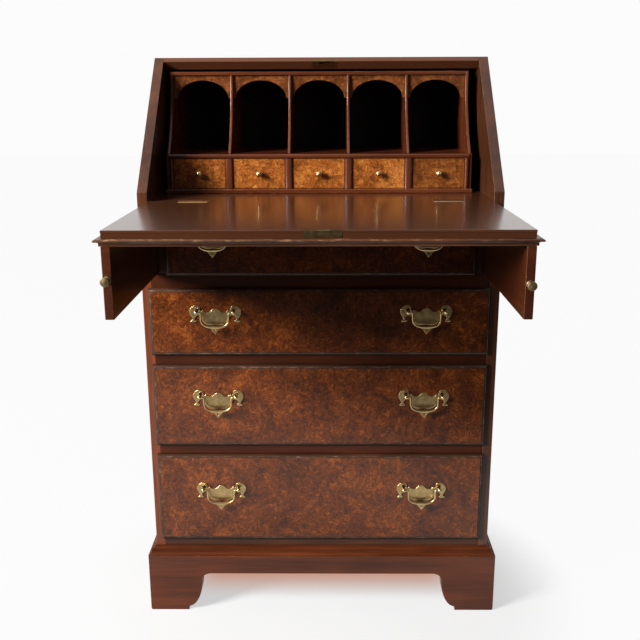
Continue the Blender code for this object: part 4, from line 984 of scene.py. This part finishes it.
class BUREAU_OT_hinges(bpy.types.Operator):
    """Finish the hinge leaves and bolt, and build the lock's plate, the screws and the keyhole's plate"""

    bl_idname = "bureau.hinges"
    bl_label = "Hinges and lock"

    def execute(self, context):
        for word in ("left", "right"):
            self.finish_leaf(f"bed_leaf_{word}", "case")
            self.finish_leaf(f"fall_leaf_{word}", "fall")
        self.finish_node("lock_bolt", "brass")
        self.make_lock_plate()
        self.make_keyhole()
        return {"FINISHED"}

    def finish_leaf(self, name, body):
        """A hinge leaf keeps its solid and gets a row of three screws, along its edge away from the pin."""
        self.finish_node(name, "hinge_brass")
        low, high = box(name)
        middle, half, inset = (low[0] + high[0]) / 2, (high[0] - low[0]) / 2, 0.0050
        row = high[1] - inset if body == "case" else low[1] + inset
        form = Form(f"{name}_screws")
        screw_heads(form, [(middle + share * half, row, WRITING) for share in (-0.72, 0.0, 0.72)])
        form.make([finishes["screw"]], body)

    def finish_node(self, name, finish):
        """Give a solid that stays its finish."""
        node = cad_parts[name]
        for slot in node.material_slots:
            slot.material = finishes[finish]

    def make_lock_plate(self):
        """The lock's angle plate, slotted for the bolt, with a screw at each end and a strip of brighter
        brass along the middle of its corner, a painted highlight."""
        low, high = box("lock_plate")
        bolt_low, bolt_high = box("lock_bolt")
        inner, under = low[1] + LOCK_PLATE, high[2] - LOCK_PLATE
        outline = [(low[1], low[2]), (inner, low[2]), (inner, under), (high[1], under), (high[1], high[2]),
                   (low[1], high[2])]
        form = Form("lock_angle_plate")
        arris = 0.0003
        slab(form, rounded(outline, arris, 2), low[0], high[0], "X", arris, 2)
        plate = form.make([finishes["lock_brass"]], "fall", ["lock_plate"])
        carve(plate, [((bolt_low[0] - BOLT_GAP, low[1] - BOLT_GAP, bolt_low[2] - BOLT_GAP),
                       (bolt_high[0] + BOLT_GAP, inner + BOLT_GAP, bolt_high[2] + BOLT_GAP))])
        middle, height = (bolt_low[0] + bolt_high[0]) / 2, (bolt_low[2] + bolt_high[2]) / 2
        screws, rubbed, proud, deep, soft = 0.0205, 0.0092, 0.0001, 0.0006, 0.00025
        form = Form("lock_plate_screws")
        screw_heads(form, [(middle + hand * screws, low[1], height) for hand in (-1, 1)], "Y", -1)
        # The brighter strip on the plate's corner is a painted highlight
        board(form, (middle - rubbed, low[1] - proud, high[2] - deep),
              (middle + rubbed, low[1] + deep, high[2] + proud), soft, slot=1)
        form.make([finishes["screw"], finishes["knob_brass"]], "fall")

    def make_keyhole(self):
        """The keyhole in the fall's outer face: a small pierced shield over a dark board, which paints the
        shade inside the keyhole. The plate's points are turned over, so that its front looks down."""
        under = box("fall_board")[0][2]
        lock_low, lock_high = box("lock_plate")
        middle = ((lock_low[0] + lock_high[0]) / 2, lock_low[1] + 0.026)
        half_width, thickness, rim = 0.0125, 0.0010, 0.0003
        outline = smooth_loop(mirrored(KEYHOLE_SHIELD) * half_width, 4)
        eye = circle(0, 0.0022, 0.0020, 16)
        slit = np.array(((-0.0009, -0.0052), (0.0009, -0.0052), (0.0008, -0.0004), (-0.0008, -0.0004)))
        points, faces, wear = pierced_plate([outline, eye, slit], thickness, rim)
        form = Form("keyhole_plate")
        across, along = points[:, 0] + middle[0], middle[1] - points[:, 1]
        form.shell(np.stack((across, along, under - 0.0004 + points[:, 2]), axis=1), faces, wear=wear)
        # A dark board behind the shield: painted shade in the keyhole
        half, behind, ahead = 0.0035, 0.0062, 0.0068
        board(form, (middle[0] - half, middle[1] - behind, under - 0.0003),
              (middle[0] + half, middle[1] + ahead, under + 0.0004), 0.0001, slot=1)
        form.make([finishes["brass"], finishes["line"]], "fall")


def knob_profile(radius, reach, neck, rose):
    """Return a turned knob from its tip to its rose: a ball on a waisted neck over a small disc. The neck
    thickens to the ball as the square of the height above the disc."""
    centre = reach - radius
    turn = np.linspace(0.06, math.pi * 0.80, 12)
    ball = np.stack((radius * np.sin(turn), centre + radius * np.cos(turn)), axis=1)
    foot = (centre - radius) / 2
    share = np.linspace(0, 1, 5)
    start = ball[-1]
    waist = np.stack((neck + (start[0] - neck) * (1 - share) ** 2,
                      start[1] + (foot * 0.9 - start[1]) * share), axis=1)
    disc = [(rose * 0.8, foot * 0.75), (rose, foot * 0.55), (rose, foot * 0.12), (rose * 0.98, 0)]
    return np.concatenate((ball, waist[1:], disc))


def button_profile(radius, reach, neck, rose):
    """Return a flat-headed knob: a slightly domed head with a rounded rim, a waisted neck and a disc."""
    turn = np.linspace(0, math.pi / 2, 7)
    rim, head = 0.0016, reach - 0.0010
    dome = [(0.0003, reach), (0.5 * (radius - rim), reach - 0.0003), (radius - rim, head)]
    bend = np.stack((radius - rim + rim * np.sin(turn), head - rim + rim * np.cos(turn)), axis=1)
    shoulder, hollow = head - rim - 0.0022, 0.0035
    under = np.stack((radius - (radius - neck) * (1 - np.cos(turn)),
                      shoulder - hollow * np.sin(turn)), axis=1)
    disc = [(neck, 0.0034), (rose * 0.8, 0.0024), (rose, 0.0016), (rose, 0.0004), (rose * 0.97, 0)]
    return np.concatenate((dome, bend[1:], under, disc))


def knob_place(node):
    """Return where a knob stands on its board, how far it reaches and its radius."""
    low, high = box(node)
    place = ((low[0] + high[0]) / 2, high[1], (low[2] + high[2]) / 2)
    return place, high[1] - low[1], (high[2] - low[2]) / 2


class BUREAU_OT_lopers(bpy.types.Operator):
    """Build the two lopers and their knobs"""

    bl_idname = "bureau.lopers"
    bl_label = "Lopers"

    def execute(self, context):
        edge, neck, rose = context.scene.bureau_sizes.board_edge, 0.0030, 0.0055
        for name, knob in (("loper_left", "loper_knob_left"), ("loper_right", "loper_knob_right")):
            one_board(f"{name}_board", name, "loper", name, edge, "Y")
            form = Form(f"{name}_knob")
            place, reach, radius = knob_place(knob)
            turned(form, button_profile(radius, reach, neck, rose), place)
            form.make([finishes["loper_brass"]], name, [knob])
        return {"FINISHED"}


LONG_DRAWERS = ("drawer_bottom", "drawer_lower", "drawer_upper", "drawer_top")
# How far the fronts of the long drawers reach past their solids
LIP_DROP = 0.0042
LIP_LEFT = 0.0042
LIP_RISE = 0.0010


class BUREAU_OT_drawers(bpy.types.Operator):
    """Build the long drawers: a moulded, veneered front and a box of lining wood behind it"""

    bl_idname = "bureau.drawers"
    bl_label = "Long drawers"

    def execute(self, context):
        line = context.scene.bureau_sizes.line_width
        for name in LONG_DRAWERS:
            form = Form(f"{name}_front")
            low, high = box(name)
            left, rise = (0.0, 0.0) if name == "drawer_top" else (LIP_LEFT, LIP_RISE)
            self.add_front(form, low - (left, 0, LIP_DROP), high + (0, 0, rise), line)
            form.make([finishes["burr"], finishes["line"], finishes["moulding"], finishes["lining"]],
                      name, [name])
            self.make_box(name, high[1])
        return {"FINISHED"}

    def add_front(self, form, low, high, line):
        """The front: veneer, a fine dark line, a quarter-round edge that falls back to the case, and the
        board behind it. Each row is how far in a rectangle lies and its place in depth."""
        face, depth, fillet, width = low[1], 0.0040, 0.0006, 0.0054
        turn = np.linspace(0, math.pi / 2, 8)
        edge = [(width * (1 - math.sin(t)), face + fillet + depth * (1 - math.cos(t))) for t in turn]
        profile = [(width + line, face), (width + 0.0001, face), *edge, (0, FRONT - CLEAR)]
        kinds = [0, 1] + [2] * (len(profile) - 3) + [1, 1]
        # The part of the quarter round next to the veneer is lightened: partly wear, partly a painted
        # highlight line
        wears = np.zeros(len(profile))
        wears[2:5] = 0.6
        stepped(form, (low[0], low[2]), (high[0], high[2]), profile, "Y", slots=kinds, wears=wears)

    def make_box(self, name, back):
        """The box behind the front: its board, two sides, a back and a bottom let in between them."""
        wall, floor, front = 0.009, 0.008, 0.012
        half, sill, head = drawer_inside(name)
        rim = head - 0.005
        inner, behind = half - wall, FRONT + front
        form = Form(f"{name}_box")
        board(form, (-half, FRONT - 0.0002, sill), (half, behind, head - 0.004), CRISP_EDGE, grain="X")
        for near, far in ((-half, wall - half), (inner, half)):
            board(form, (near, behind, sill), (far, back, rim), grain="Y")
        board(form, (-inner, back - wall, sill + floor), (inner, back, rim - 0.004), grain="X")
        board(form, (-inner, behind, sill), (inner, back, sill + floor), INNER_EDGE, grain="X")
        form.make([finishes["lining"]], name)


def drawer_inside(name):
    """Return half the width, the underside and the top of the opening that a long drawer's box fills."""
    gap = 0.001
    levels = ("bottom_board", "drawer_rail_lower", "drawer_rail_middle", "drawer_rail_upper", "writing_bed")
    level = LONG_DRAWERS.index(name)
    half = INNER_HALF if name != "drawer_top" else box("loper_divider_right")[0][0]
    return half - gap, box(levels[level])[1][2] + CLEAR, box(levels[level + 1])[0][2] - gap


# The batwing plate's right half from the crown of the shield to its foot, as shares of its half width
BATWING = (
    (0.000, 0.118), (0.065, 0.108), (0.130, 0.062), (0.190, 0.000), (0.260, -0.036),
    (0.350, -0.040), (0.420, -0.008), (0.478, 0.046), (0.505, 0.030), (0.545, 0.002),
    (0.578, 0.050), (0.585, 0.130), (0.620, 0.190), (0.690, 0.228), (0.780, 0.232),
    (0.875, 0.190), (0.955, 0.110), (0.995, 0.015), (0.985, -0.090), (0.940, -0.185),
    (0.892, -0.265), (0.885, -0.325), (0.925, -0.362), (0.968, -0.400), (0.930, -0.436),
    (0.830, -0.432), (0.745, -0.415), (0.735, -0.372), (0.780, -0.345), (0.800, -0.290),
    (0.762, -0.212), (0.690, -0.165), (0.610, -0.160), (0.560, -0.205), (0.540, -0.300),
    (0.490, -0.415), (0.400, -0.500), (0.270, -0.548), (0.130, -0.548), (0.000, -0.530),
)
# The drop under the bail, right half, as shares of its half width and of its height
PENDANT = ((1.00, 0.00), (0.80, 0.13), (0.60, 0.27), (0.40, 0.50), (0.17, 0.80), (0.00, 1.00))
PLATE_HALF = 0.0443
PLATE_THICKNESS = 0.0016
POST_HALF = 0.03175
POST_REACH = 0.0115
BALL = 0.00375
# Each post stands in a round hole of the plate, which lies a little inwards and upwards of it
HOLE_IN = 0.0004
HOLE_UP = 0.0020
HOLE_RADIUS = 0.0034
# Radius of the pins and the rod of a bail
PIN_RADIUS = 0.0015
# The drop hangs from here down, and its half width and height
DROP_TOP = -0.0250
DROP_HALF = 0.0125
DROP_HEIGHT = 0.0130


def mirrored(half):
    """Return a closed outline from its right half, whose first and last points lie on the middle line."""
    half = np.asarray(half, float)
    return np.concatenate((half, half[1:-1][::-1] * (-1, 1)))


def both_sides(half):
    """Return a path whose right half is given from its end to the middle line."""
    return np.concatenate((half, half[:-1][::-1] * (-1, 1)))


def circle(across, up, radius, steps=24):
    """Return points on a circle."""
    turn = np.linspace(0, 2 * math.pi, steps, endpoint=False)
    return np.stack((across + radius * np.cos(turn), up + radius * np.sin(turn)), axis=1)


def pierced_plate(outlines, thickness, rim):
    """Fill flat outlines, the later ones as holes, and bevel both rims: the flat curve's own mesh, with its
    points as an array, its faces, and wear on the bevel."""
    curve = bpy.data.curves.new("plate", "CURVE")
    curve.dimensions = "2D"
    curve.fill_mode = "BOTH"
    curve.extrude = thickness / 2 - rim
    curve.bevel_depth = rim
    curve.bevel_resolution = 2
    curve.offset = -rim
    for outline in outlines:
        spline = curve.splines.new("POLY")
        spline.points.add(len(outline) - 1)
        flat = np.zeros((len(outline), 4))
        flat[:, :2] = outline
        flat[:, 3] = 1
        spline.points.foreach_set("co", flat.ravel())
        spline.use_cyclic_u = True
    guide = new_object("plate", curve)
    graph = bpy.context.evaluated_depsgraph_get()
    flat_mesh = bpy.data.meshes.new_from_object(guide.evaluated_get(graph))
    bpy.data.objects.remove(guide)
    bpy.data.curves.remove(curve)
    shape = bmesh.new()
    shape.from_mesh(flat_mesh)
    bmesh.ops.remove_doubles(shape, verts=shape.verts, dist=0.000003)
    shape.to_mesh(flat_mesh)
    shape.free()
    points = np.empty(len(flat_mesh.vertices) * 3)
    flat_mesh.vertices.foreach_get("co", points)
    points = points.reshape(-1, 3)
    faces = [np.array([tuple(face.vertices)]) for face in flat_mesh.polygons]
    bpy.data.meshes.remove(flat_mesh)
    height = np.abs(points[:, 2])
    wear = np.where(height > thickness / 2 - rim * 0.02, 0.0, 1.0)
    return points, faces, wear


class BUREAU_OT_handles(bpy.types.Operator):
    """Build the eight handles: pierced batwing plates with two posts, and bails that swing between them"""

    bl_idname = "bureau.handles"
    bl_label = "Handles"

    def execute(self, context):
        rim = context.scene.bureau_sizes.plate_rim
        outline = smooth_loop(mirrored(BATWING) * PLATE_HALF, 4)
        holes = [circle(hand * (POST_HALF - HOLE_IN), HOLE_UP, HOLE_RADIUS) for hand in (-1, 1)]
        plate = pierced_plate([outline, *holes], PLATE_THICKNESS, rim)
        tip = np.array([(DROP_HALF * across, DROP_TOP - DROP_HEIGHT * down) for across, down in PENDANT])
        heart = np.array(((-0.0022, -0.0296), (0.0022, -0.0296), (0.0, -0.0328)))
        drop = pierced_plate([both_sides(tip), heart], 0.0022, 0.0004)
        for drawer in LONG_DRAWERS:
            for word in ("left", "right"):
                name = f"{drawer}_{word}"
                self.make_plate(name, drawer, plate)
                self.make_bail(name, drop)
        return {"FINISHED"}

    def place(self, name):
        """Return the middle of a handle's post line on the drawer's face."""
        low, high = box(f"{name}_plate")
        return np.array(((low[0] + high[0]) / 2, high[1], box(f"{name}_bail")[1][2] - PIN_RADIUS))

    def make_plate(self, name, drawer, plate):
        """One plate with its two posts, each a ball on a stem that stands in a hole, and behind each hole a
        dark disc of painted shade.
        """
        points, faces, wear = plate
        place = self.place(name)
        moved = np.stack((points[:, 0], -points[:, 2] - PLATE_THICKNESS / 2, points[:, 1]), axis=1) + place
        form = Form(f"{name}_batwing")
        form.shell(moved, faces, wear=wear)
        turn = np.linspace(0.08, math.pi * 0.82, 12)
        ball = np.stack((BALL * np.sin(turn), POST_REACH + BALL * np.cos(turn)), axis=1)
        stem = [(0.0017, POST_REACH - BALL), (0.0017, 0.0020), (0.0021, 0.0010), (0.0021, 0.0001)]
        for hand in (-1, 1):
            centre = place + (hand * POST_HALF, 0, 0)
            turned(form, np.concatenate((ball, stem)), centre, steps=28, slot=1)
            # A dark disc behind each hole: painted shade in the hole round the post
            dark = circle(centre[0] - hand * HOLE_IN, centre[2] + HOLE_UP, HOLE_RADIUS + 0.0003)
            slab(form, dark, place[1] - 0.0004, place[1] - 0.0001, "Y", 0.00005, 1, slot=2)
        form.make([finishes["brass"], finishes["knob_brass"], finishes["line"]], drawer,
                  [f"{name}_plate"])

    def make_bail(self, name, pendant):
        """One bail: pins into the balls, upright arms and a flattened arc, whose across and down are the
        cosine and sine to the power 0.8, thickened to a crescent at the bottom, with a pierced drop."""
        place = self.place(name) - (0, POST_REACH, 0)
        pin, half, drop, arm, bent = POST_HALF - BALL + 0.0014, 0.0238, 0.0265, 0.0110, 0.003
        turn = np.linspace(0, math.pi / 2, 7)
        bend = np.stack((half + bent * (1 - np.sin(turn)), -bent * (1 - np.cos(turn))), axis=1)
        sweep = np.linspace(0, math.pi / 2, 23)[1:]
        across, down = np.maximum(np.cos(sweep), 0) ** 0.8, np.sin(sweep) ** 0.8
        arc = np.stack((half * across, -arm - (drop - arm) * down), axis=1)
        path = both_sides(np.concatenate(([(pin, 0)], bend, [(half, -0.006), (half, -arm)], arc)))
        crescent, fullness, thickness, lift = 0.0165, 0.0008, 0.0002, 0.0006
        centre = np.clip(1 - (path[:, 0] / crescent) ** 2, 0, 1) * (path[:, 1] < -arm)
        radii = np.stack((PIN_RADIUS + fullness * centre, PIN_RADIUS + thickness * centre), axis=1)
        path[:, 1] += lift * centre
        form = Form(f"{name}_bail_drop")
        tube(form, path + (place[0], place[2]), radii, place[1], wear=0.6)
        points, faces, wear = pendant
        moved = np.stack((points[:, 0], -points[:, 2], points[:, 1]), axis=1) + place
        form.shell(moved, faces, wear=wear)
        form.make([finishes["brass"]], f"{name}_bail", [f"{name}_bail"])


GALLERY_LOW, GALLERY_HIGH = box("gallery_case")
GALLERY_WALL = 0.005
GALLERY_MIDDLE = (GALLERY_LOW[0] + GALLERY_HIGH[0]) / 2
GALLERY_BASE = GALLERY_LOW[2] + 0.007
CEILING = GALLERY_HIGH[2] - 0.0062
SHELF_TOP = box("gallery_shelf")[1][2]
SHELF_UNDERSIDE = SHELF_TOP - 0.008
# How far behind the case's front the shelf and the top of the gallery stand
SHELF_SETBACK = 0.130
GALLERY_SETBACK = (GALLERY_HIGH[2] - WRITING) / math.tan(SLANT_ANGLE) + 0.0022 / math.sin(SLANT_ANGLE)
# From one pigeonhole to the next
PITCH = 0.1072


def swept_front(low, high):
    """Return (Y, Z) up the front edge of a divider: it falls back from the ceiling as the square of the
    drop below it, down to the shelf."""
    height = np.linspace(low, high, 24)
    share = (CEILING - height) / (CEILING - SHELF_TOP)
    foot = SHELF_SETBACK + 0.012
    return np.stack((FRONT + GALLERY_SETBACK - (GALLERY_SETBACK - foot) * share ** 2, height), axis=1)


class BUREAU_OT_gallery(bpy.types.Operator):
    """Build the gallery: case, shelf with pilasters, swept dividers and the arched valance"""

    bl_idname = "bureau.gallery"
    bl_label = "Gallery"

    def execute(self, context):
        self.make_case()
        self.make_shelf()
        for index in range(1, 5):
            name = f"pigeonhole_divider_{index}"
            low, high = box(name)
            front = swept_front(low[2], high[2])
            outline = np.concatenate((front, [(high[1], high[2]), (high[1], low[2])]))
            form = Form(f"{name}_board")
            slab(form, outline, low[0], high[0], "X", 0.0017, 5, grain="Z")
            form.make([finishes["red"]], "case", [name])
        self.make_valance()
        return {"FINISHED"}

    def make_case(self):
        """The case: a base, two sides with a swept edge standing on it, a top between them and a back."""
        low, high = GALLERY_LOW, GALLERY_HIGH
        front, setback = FRONT + SHELF_SETBACK - CLEAR, FRONT + GALLERY_SETBACK
        near, far, thin = low[0] + GALLERY_WALL, high[0] - GALLERY_WALL, 0.005
        form = Form("gallery_boards")
        board(form, low, (high[0], high[1], GALLERY_BASE), 0.0012, grain="X")
        outline = np.concatenate(([(high[1], high[2]), (high[1], GALLERY_BASE), (front, GALLERY_BASE),
                                   (front, SHELF_TOP)], swept_front(SHELF_TOP, CEILING),
                                  [(setback, high[2])]))
        for faces in ((low[0], near), (far, high[0])):
            slab(form, outline, *faces, "X", 0.0010, grain="Z")
        board(form, (near, setback, CEILING), (far, high[1], high[2]), 0.0009, grain="X")
        board(form, (near, high[1] - thin, GALLERY_BASE), (far, high[1], CEILING), INNER_EDGE,
              grain="X", slot=1)
        form.make([finishes["red"], finishes["inside"]], "case", ["gallery_case"])

    def make_shelf(self):
        """The shelf with its half-round nose, and the pilasters and partitions that it stands on."""
        low, high = box("gallery_shelf")
        back, setback = high[1], FRONT + SHELF_SETBACK
        turn = np.linspace(math.pi / 2, -math.pi / 2, 11)
        middle, half = (SHELF_TOP + SHELF_UNDERSIDE) / 2, (SHELF_TOP - SHELF_UNDERSIDE) / 2
        nose = np.stack((setback - 0.0035 * np.cos(turn), middle + half * np.sin(turn)), axis=1)
        outline = np.concatenate((nose, [(back, SHELF_UNDERSIDE), (back, SHELF_TOP)]))
        form = Form("gallery_shelf_board")
        slab(form, outline, low[0], high[0], "X", INNER_EDGE, grain="X")
        for index in range(4):
            self.add_pilaster(form, GALLERY_MIDDLE + PITCH * (index - 1.5), 0.014, 0.004, back)
        end = 0.00375
        for centre in (low[0] + end, high[0] - end):
            self.add_pilaster(form, centre, 0.0072, 0.002, back)
        form.make([finishes["red"]], "case", ["gallery_shelf"])

    def add_pilaster(self, form, centre, width, partition, back):
        """A pilaster with a rounded front, half an ellipse seen from above, and the partition behind it,
        which is as thick as twice the given measure."""
        turn = np.linspace(0, math.pi, 19)
        half, bulge, front = width / 2, 0.004, FRONT + SHELF_SETBACK
        nose = np.stack((centre + half * np.cos(turn), front - bulge * np.sin(turn)), axis=1)
        shoulder = front + 0.008
        outline = np.concatenate((nose, [(centre - half, shoulder), (centre - partition, shoulder),
                                         (centre - partition, back), (centre + partition, back),
                                         (centre + partition, shoulder), (centre + half, shoulder)]))
        slab(form, outline, GALLERY_BASE + 0.0002, SHELF_UNDERSIDE, "Z", 0.0002, 1, grain="Z")

    def make_valance(self):
        """The valance: one strip with a round arch, half an ellipse, over each pigeonhole."""
        low, high = box("gallery_valance")
        divider, spandrel, crown = 0.005, 0.0045, CEILING - 0.0090
        span = (PITCH - divider) / 2 - spandrel
        turn = np.linspace(math.pi, 0, 29)
        arches = [np.stack((GALLERY_MIDDLE + PITCH * (index - 2) + span * np.cos(turn),
                            low[2] + (crown - low[2]) * np.sin(turn)), axis=1) for index in range(5)]
        corners = [(high[0], low[2]), (high[0], high[2]), (low[0], high[2]), (low[0], low[2])]
        form = Form("arched_valance")
        slab(form, np.concatenate((corners, *arches)), low[1], high[1], "Y", CRISP_EDGE, 2, grain="X")
        form.make([finishes["light_burr_valance"]], "case", ["gallery_valance"])


# The small knobs' balls, next to their solids', and the radii of neck and disc
KNOB_FULLNESS = 1.16
KNOB_NECK = 0.0021
KNOB_ROSE = 0.0040


class BUREAU_OT_small_drawers(bpy.types.Operator):
    """Build the five small drawers with their ball knobs"""

    bl_idname = "bureau.small_drawers"
    bl_label = "Small drawers"

    def execute(self, context):
        # The fourth and fifth fronts take veneer painted darker, for the light that falls off towards the
        # right
        veneers = ("light_burr", "light_burr", "light_burr", "light_burr_middle", "light_burr_right")
        for index, veneer in enumerate(veneers, 1):
            name = f"small_drawer_{index}"
            form = Form(f"{name}_box")
            self.add_boards(form, *box(name))
            form.make([finishes[veneer], finishes["lining"]], name, [name])
            place, reach, radius = knob_place(f"small_knob_{index}")
            form = Form(f"small_knob_{index}_ball")
            turned(form, knob_profile(KNOB_FULLNESS * radius, reach, KNOB_NECK, KNOB_ROSE), place)
            form.make([finishes["knob_brass"]], name, [f"small_knob_{index}"])
        return {"FINISHED"}

    def add_boards(self, form, low, high):
        """A small drawer's front, two sides, a back and a bottom let in between them."""
        front, wall, back = low[1] + 0.008, 0.004, high[1]
        board(form, low, (high[0], front, high[2]), 0.0007, grain="X")
        for near, far in ((low[0], low[0] + wall), (high[0] - wall, high[0])):
            board(form, (near + 0.0001, front, low[2]), (far - 0.0001, back, high[2] - 0.003), INNER_EDGE,
                  grain="Y", slot=1)
        near, far = low[0] + wall, high[0] - wall
        board(form, (near, back - wall, low[2]), (far, back, high[2] - 0.004), INNER_EDGE,
              grain="X", slot=1)
        board(form, (near, front, low[2]), (far, back - wall, low[2] + wall), 0.0002, grain="Y", slot=1)


# How bright the background is, where 1 is white
PAPER = 0.97
# Painted bounce light: the colour that the plinth's red wood throws on the paper below it, painted into its
# white
PAINTED_BOUNCE = (0.88, 0.50, 0.37)
CAMERA_PLACE = (0.014, -1.479, 0.9364)
CAMERA_YAW = -0.0107
CAMERA_PITCH = 0.2596
CAMERA_ROLL = -0.0038


class BUREAU_OT_stage(bpy.types.Operator):
    """Set the floor, the lamps, the world and the camera"""

    bl_idname = "bureau.stage"
    bl_label = "Stage"

    def execute(self, context):
        settings = context.scene.bureau_stage
        self.make_floor()
        middle = (0.0, 0.0, 0.5)
        self.make_lamp("key_lamp", (-2.75, -1.75, 2.1), middle, settings.key_power, 1.0, 1.7)
        self.make_lamp("fill_lamp", (1.6, -3.0, 1.3), middle, settings.fill_power, 1.6, 1.6)
        self.make_world(settings.room_light)
        self.make_camera(settings.lens)
        bpy.context.scene.view_settings.view_transform = "Standard"
        return {"FINISHED"}

    def make_floor(self):
        """A pale floor: its own shade near the bureau, and almost white away from it. Gloss sees the floor
        dim, but for a lit patch at the right, and below the apron the white has a painted bounce of the
        plinth's red light."""
        ground = Recipe(bpy.data.materials.new("pale_floor"))
        place = ground.node("ShaderNodeTexCoord", {}, output=3)
        reach = ground.node("ShaderNodeVectorMath", {"operation": "LENGTH"}, place, output=0)
        camera, gloss = self.rays(ground)
        across, depth = (ground.node("ShaderNodeSeparateXYZ", {}, place, output=axis) for axis in (0, 1))
        lit = (depth - across * 0.8).between(-1.5, -0.7) * across.between(0.5, 1.3, 1.0, 0.4)
        away = reach.between(0.31, 0.52, 0.62, 0.985) * (camera + gloss * lit)
        soft = ground.noise(place, 3.0, 3.0)
        shade = ground.ramp(soft, (0.3, (0.80, 0.795, 0.79)), (0.7, (0.84, 0.835, 0.83)))
        dim = ground.ramp(soft, (0.3, (0.045, 0.043, 0.04)), (0.7, (0.05, 0.048, 0.045)))
        matt = ground.node("ShaderNodeBsdfDiffuse", {}, ground.mix(camera, dim, shade))
        aside = ground.node("ShaderNodeMath", {"operation": "ABSOLUTE"}, across)
        # Painted bounce light: below the apron the floor's white is tinted with the red that the plinth
        # throws down
        under = (depth.between(-0.03, 0.07) * depth.between(0.2, 0.4, 1.0, 0.0)
                 * aside.between(0.2, 0.3, 1.0, 0.0))
        warm = ground.mix(under, (PAPER, PAPER, PAPER), PAINTED_BOUNCE)
        glow = ground.node("ShaderNodeEmission", {}, warm, 1.0)
        mixed = ground.node("ShaderNodeMixShader", {}, away, matt, glow)
        ground.node("ShaderNodeOutputMaterial", {}, mixed)
        half, lines = 12.0, 9
        side = np.linspace(-half, half, lines)
        columns, rows = np.meshgrid(side, side)
        points = np.stack((columns, rows, np.zeros_like(columns)), axis=-1).reshape(-1, 3)
        mesh = bpy.data.meshes.new("floor")
        mesh.from_pydata(points.tolist(), [], grid_faces(lines, lines, False).tolist())
        mesh.materials.append(ground.owner)
        floor = new_object("floor", mesh)

    def rays(self, recipe):
        """Return 1 for rays of the camera and 0 for others, and the same for rays of gloss and through
        glass."""
        path = recipe.tree.nodes.new("ShaderNodeLightPath")
        camera, glossy, through = (Signal(recipe, path.outputs[f"Is {kind} Ray"]) for kind in
                                   ("Camera", "Glossy", "Transmission"))
        return camera, recipe.node("ShaderNodeMath", {"operation": "MAXIMUM"}, glossy, through)

    def make_lamp(self, name, place, aim, power, width, height):
        """A soft rectangular lamp that faces a point."""
        lamp = bpy.data.lights.new(name, "AREA")
        lamp.shape, lamp.size, lamp.size_y, lamp.energy = "RECTANGLE", width, height, power
        holder = new_object(name, lamp)
        holder.location = place
        holder.rotation_euler = (Vector(aim) - Vector(place)).to_track_quat("-Z", "Y").to_euler()

    def make_world(self, strength):
        """Soft light from all round. The camera sees almost white, and gloss sees white behind the bureau,
        a bright ceiling above and a dim room in front."""
        recipe = Recipe(bpy.data.worlds.new("pale_room"))
        camera, gloss = self.rays(recipe)
        way = recipe.node("ShaderNodeTexCoord", {}, output=0)
        depth, height = (recipe.node("ShaderNodeSeparateXYZ", {}, way, output=axis) for axis in (1, 2))
        ceiling = height.between(0.6, 0.95, 0.0, 0.75)
        behind = depth.between(-0.15, 0.35, 0.05, 1.0)
        room = recipe.node("ShaderNodeMath", {"operation": "MAXIMUM"}, ceiling, behind)
        level = strength + camera * (PAPER - strength) + gloss * (room - strength)
        light = recipe.node("ShaderNodeBackground", {}, (1.0, 1.0, 1.0), level)
        recipe.node("ShaderNodeOutputWorld", {}, light)
        bpy.context.scene.world = recipe.owner

    def make_camera(self, lens):
        """The camera stands in front of the bureau, a little above the writing surface, and looks down."""
        data = bpy.data.cameras.new("camera")
        data.sensor_width, data.lens = 36.0, lens
        data.clip_start = 0.05
        camera = new_object("camera", data)
        camera.location = CAMERA_PLACE
        yaw, pitch, roll = CAMERA_YAW, CAMERA_PITCH, CAMERA_ROLL
        aim = Vector((math.sin(yaw) * math.cos(pitch), math.cos(yaw) * math.cos(pitch), -math.sin(pitch)))
        level = aim.cross(Vector((0, 0, 1))).normalized()
        up = level.cross(aim)
        right = level * math.cos(roll) + up * math.sin(roll)
        upright = right.cross(aim)
        turn = np.array((right, upright, -aim)).T
        camera.rotation_euler = Matrix(turn.tolist()).to_euler()
        bpy.context.scene.camera = camera


OPERATORS = (BUREAU_OT_carcass, BUREAU_OT_plinth, BUREAU_OT_fall, BUREAU_OT_hinges, BUREAU_OT_lopers,
             BUREAU_OT_drawers, BUREAU_OT_handles, BUREAU_OT_gallery, BUREAU_OT_small_drawers,
             BUREAU_OT_stage)


class BUREAU_PT_panel(bpy.types.Panel):
    """Lists the bureau's groups of pieces"""

    bl_idname = "BUREAU_PT_panel"
    bl_label = "Bureau"
    bl_space_type = "VIEW_3D"
    bl_region_type = "UI"
    bl_category = "Bureau"

    def draw(self, context):
        for operator in OPERATORS:
            self.layout.operator(operator.bl_idname)


CLASSES = (BureauFinishes, BureauSizes, BureauStage, *OPERATORS, BUREAU_PT_panel)


def register():
    """Register the classes and hang the settings on the scene."""
    for item in CLASSES:
        bpy.utils.register_class(item)
    bpy.types.Scene.bureau_finishes = bpy.props.PointerProperty(type=BureauFinishes)
    bpy.types.Scene.bureau_sizes = bpy.props.PointerProperty(type=BureauSizes)
    bpy.types.Scene.bureau_stage = bpy.props.PointerProperty(type=BureauStage)


def unregister():
    """Take the settings off the scene and the classes out again."""
    del bpy.types.Scene.bureau_stage
    del bpy.types.Scene.bureau_sizes
    del bpy.types.Scene.bureau_finishes
    for item in reversed(CLASSES):
        bpy.utils.unregister_class(item)


def main():
    """Build every piece in order."""
    register()
    mix_finishes(bpy.context.scene.bureau_finishes)
    for group in ("carcass", "plinth", "fall", "hinges", "lopers", "drawers", "handles", "gallery",
                  "small_drawers", "stage"):
        getattr(bpy.ops.bureau, group)()


if __name__ == "__main__":
    main()
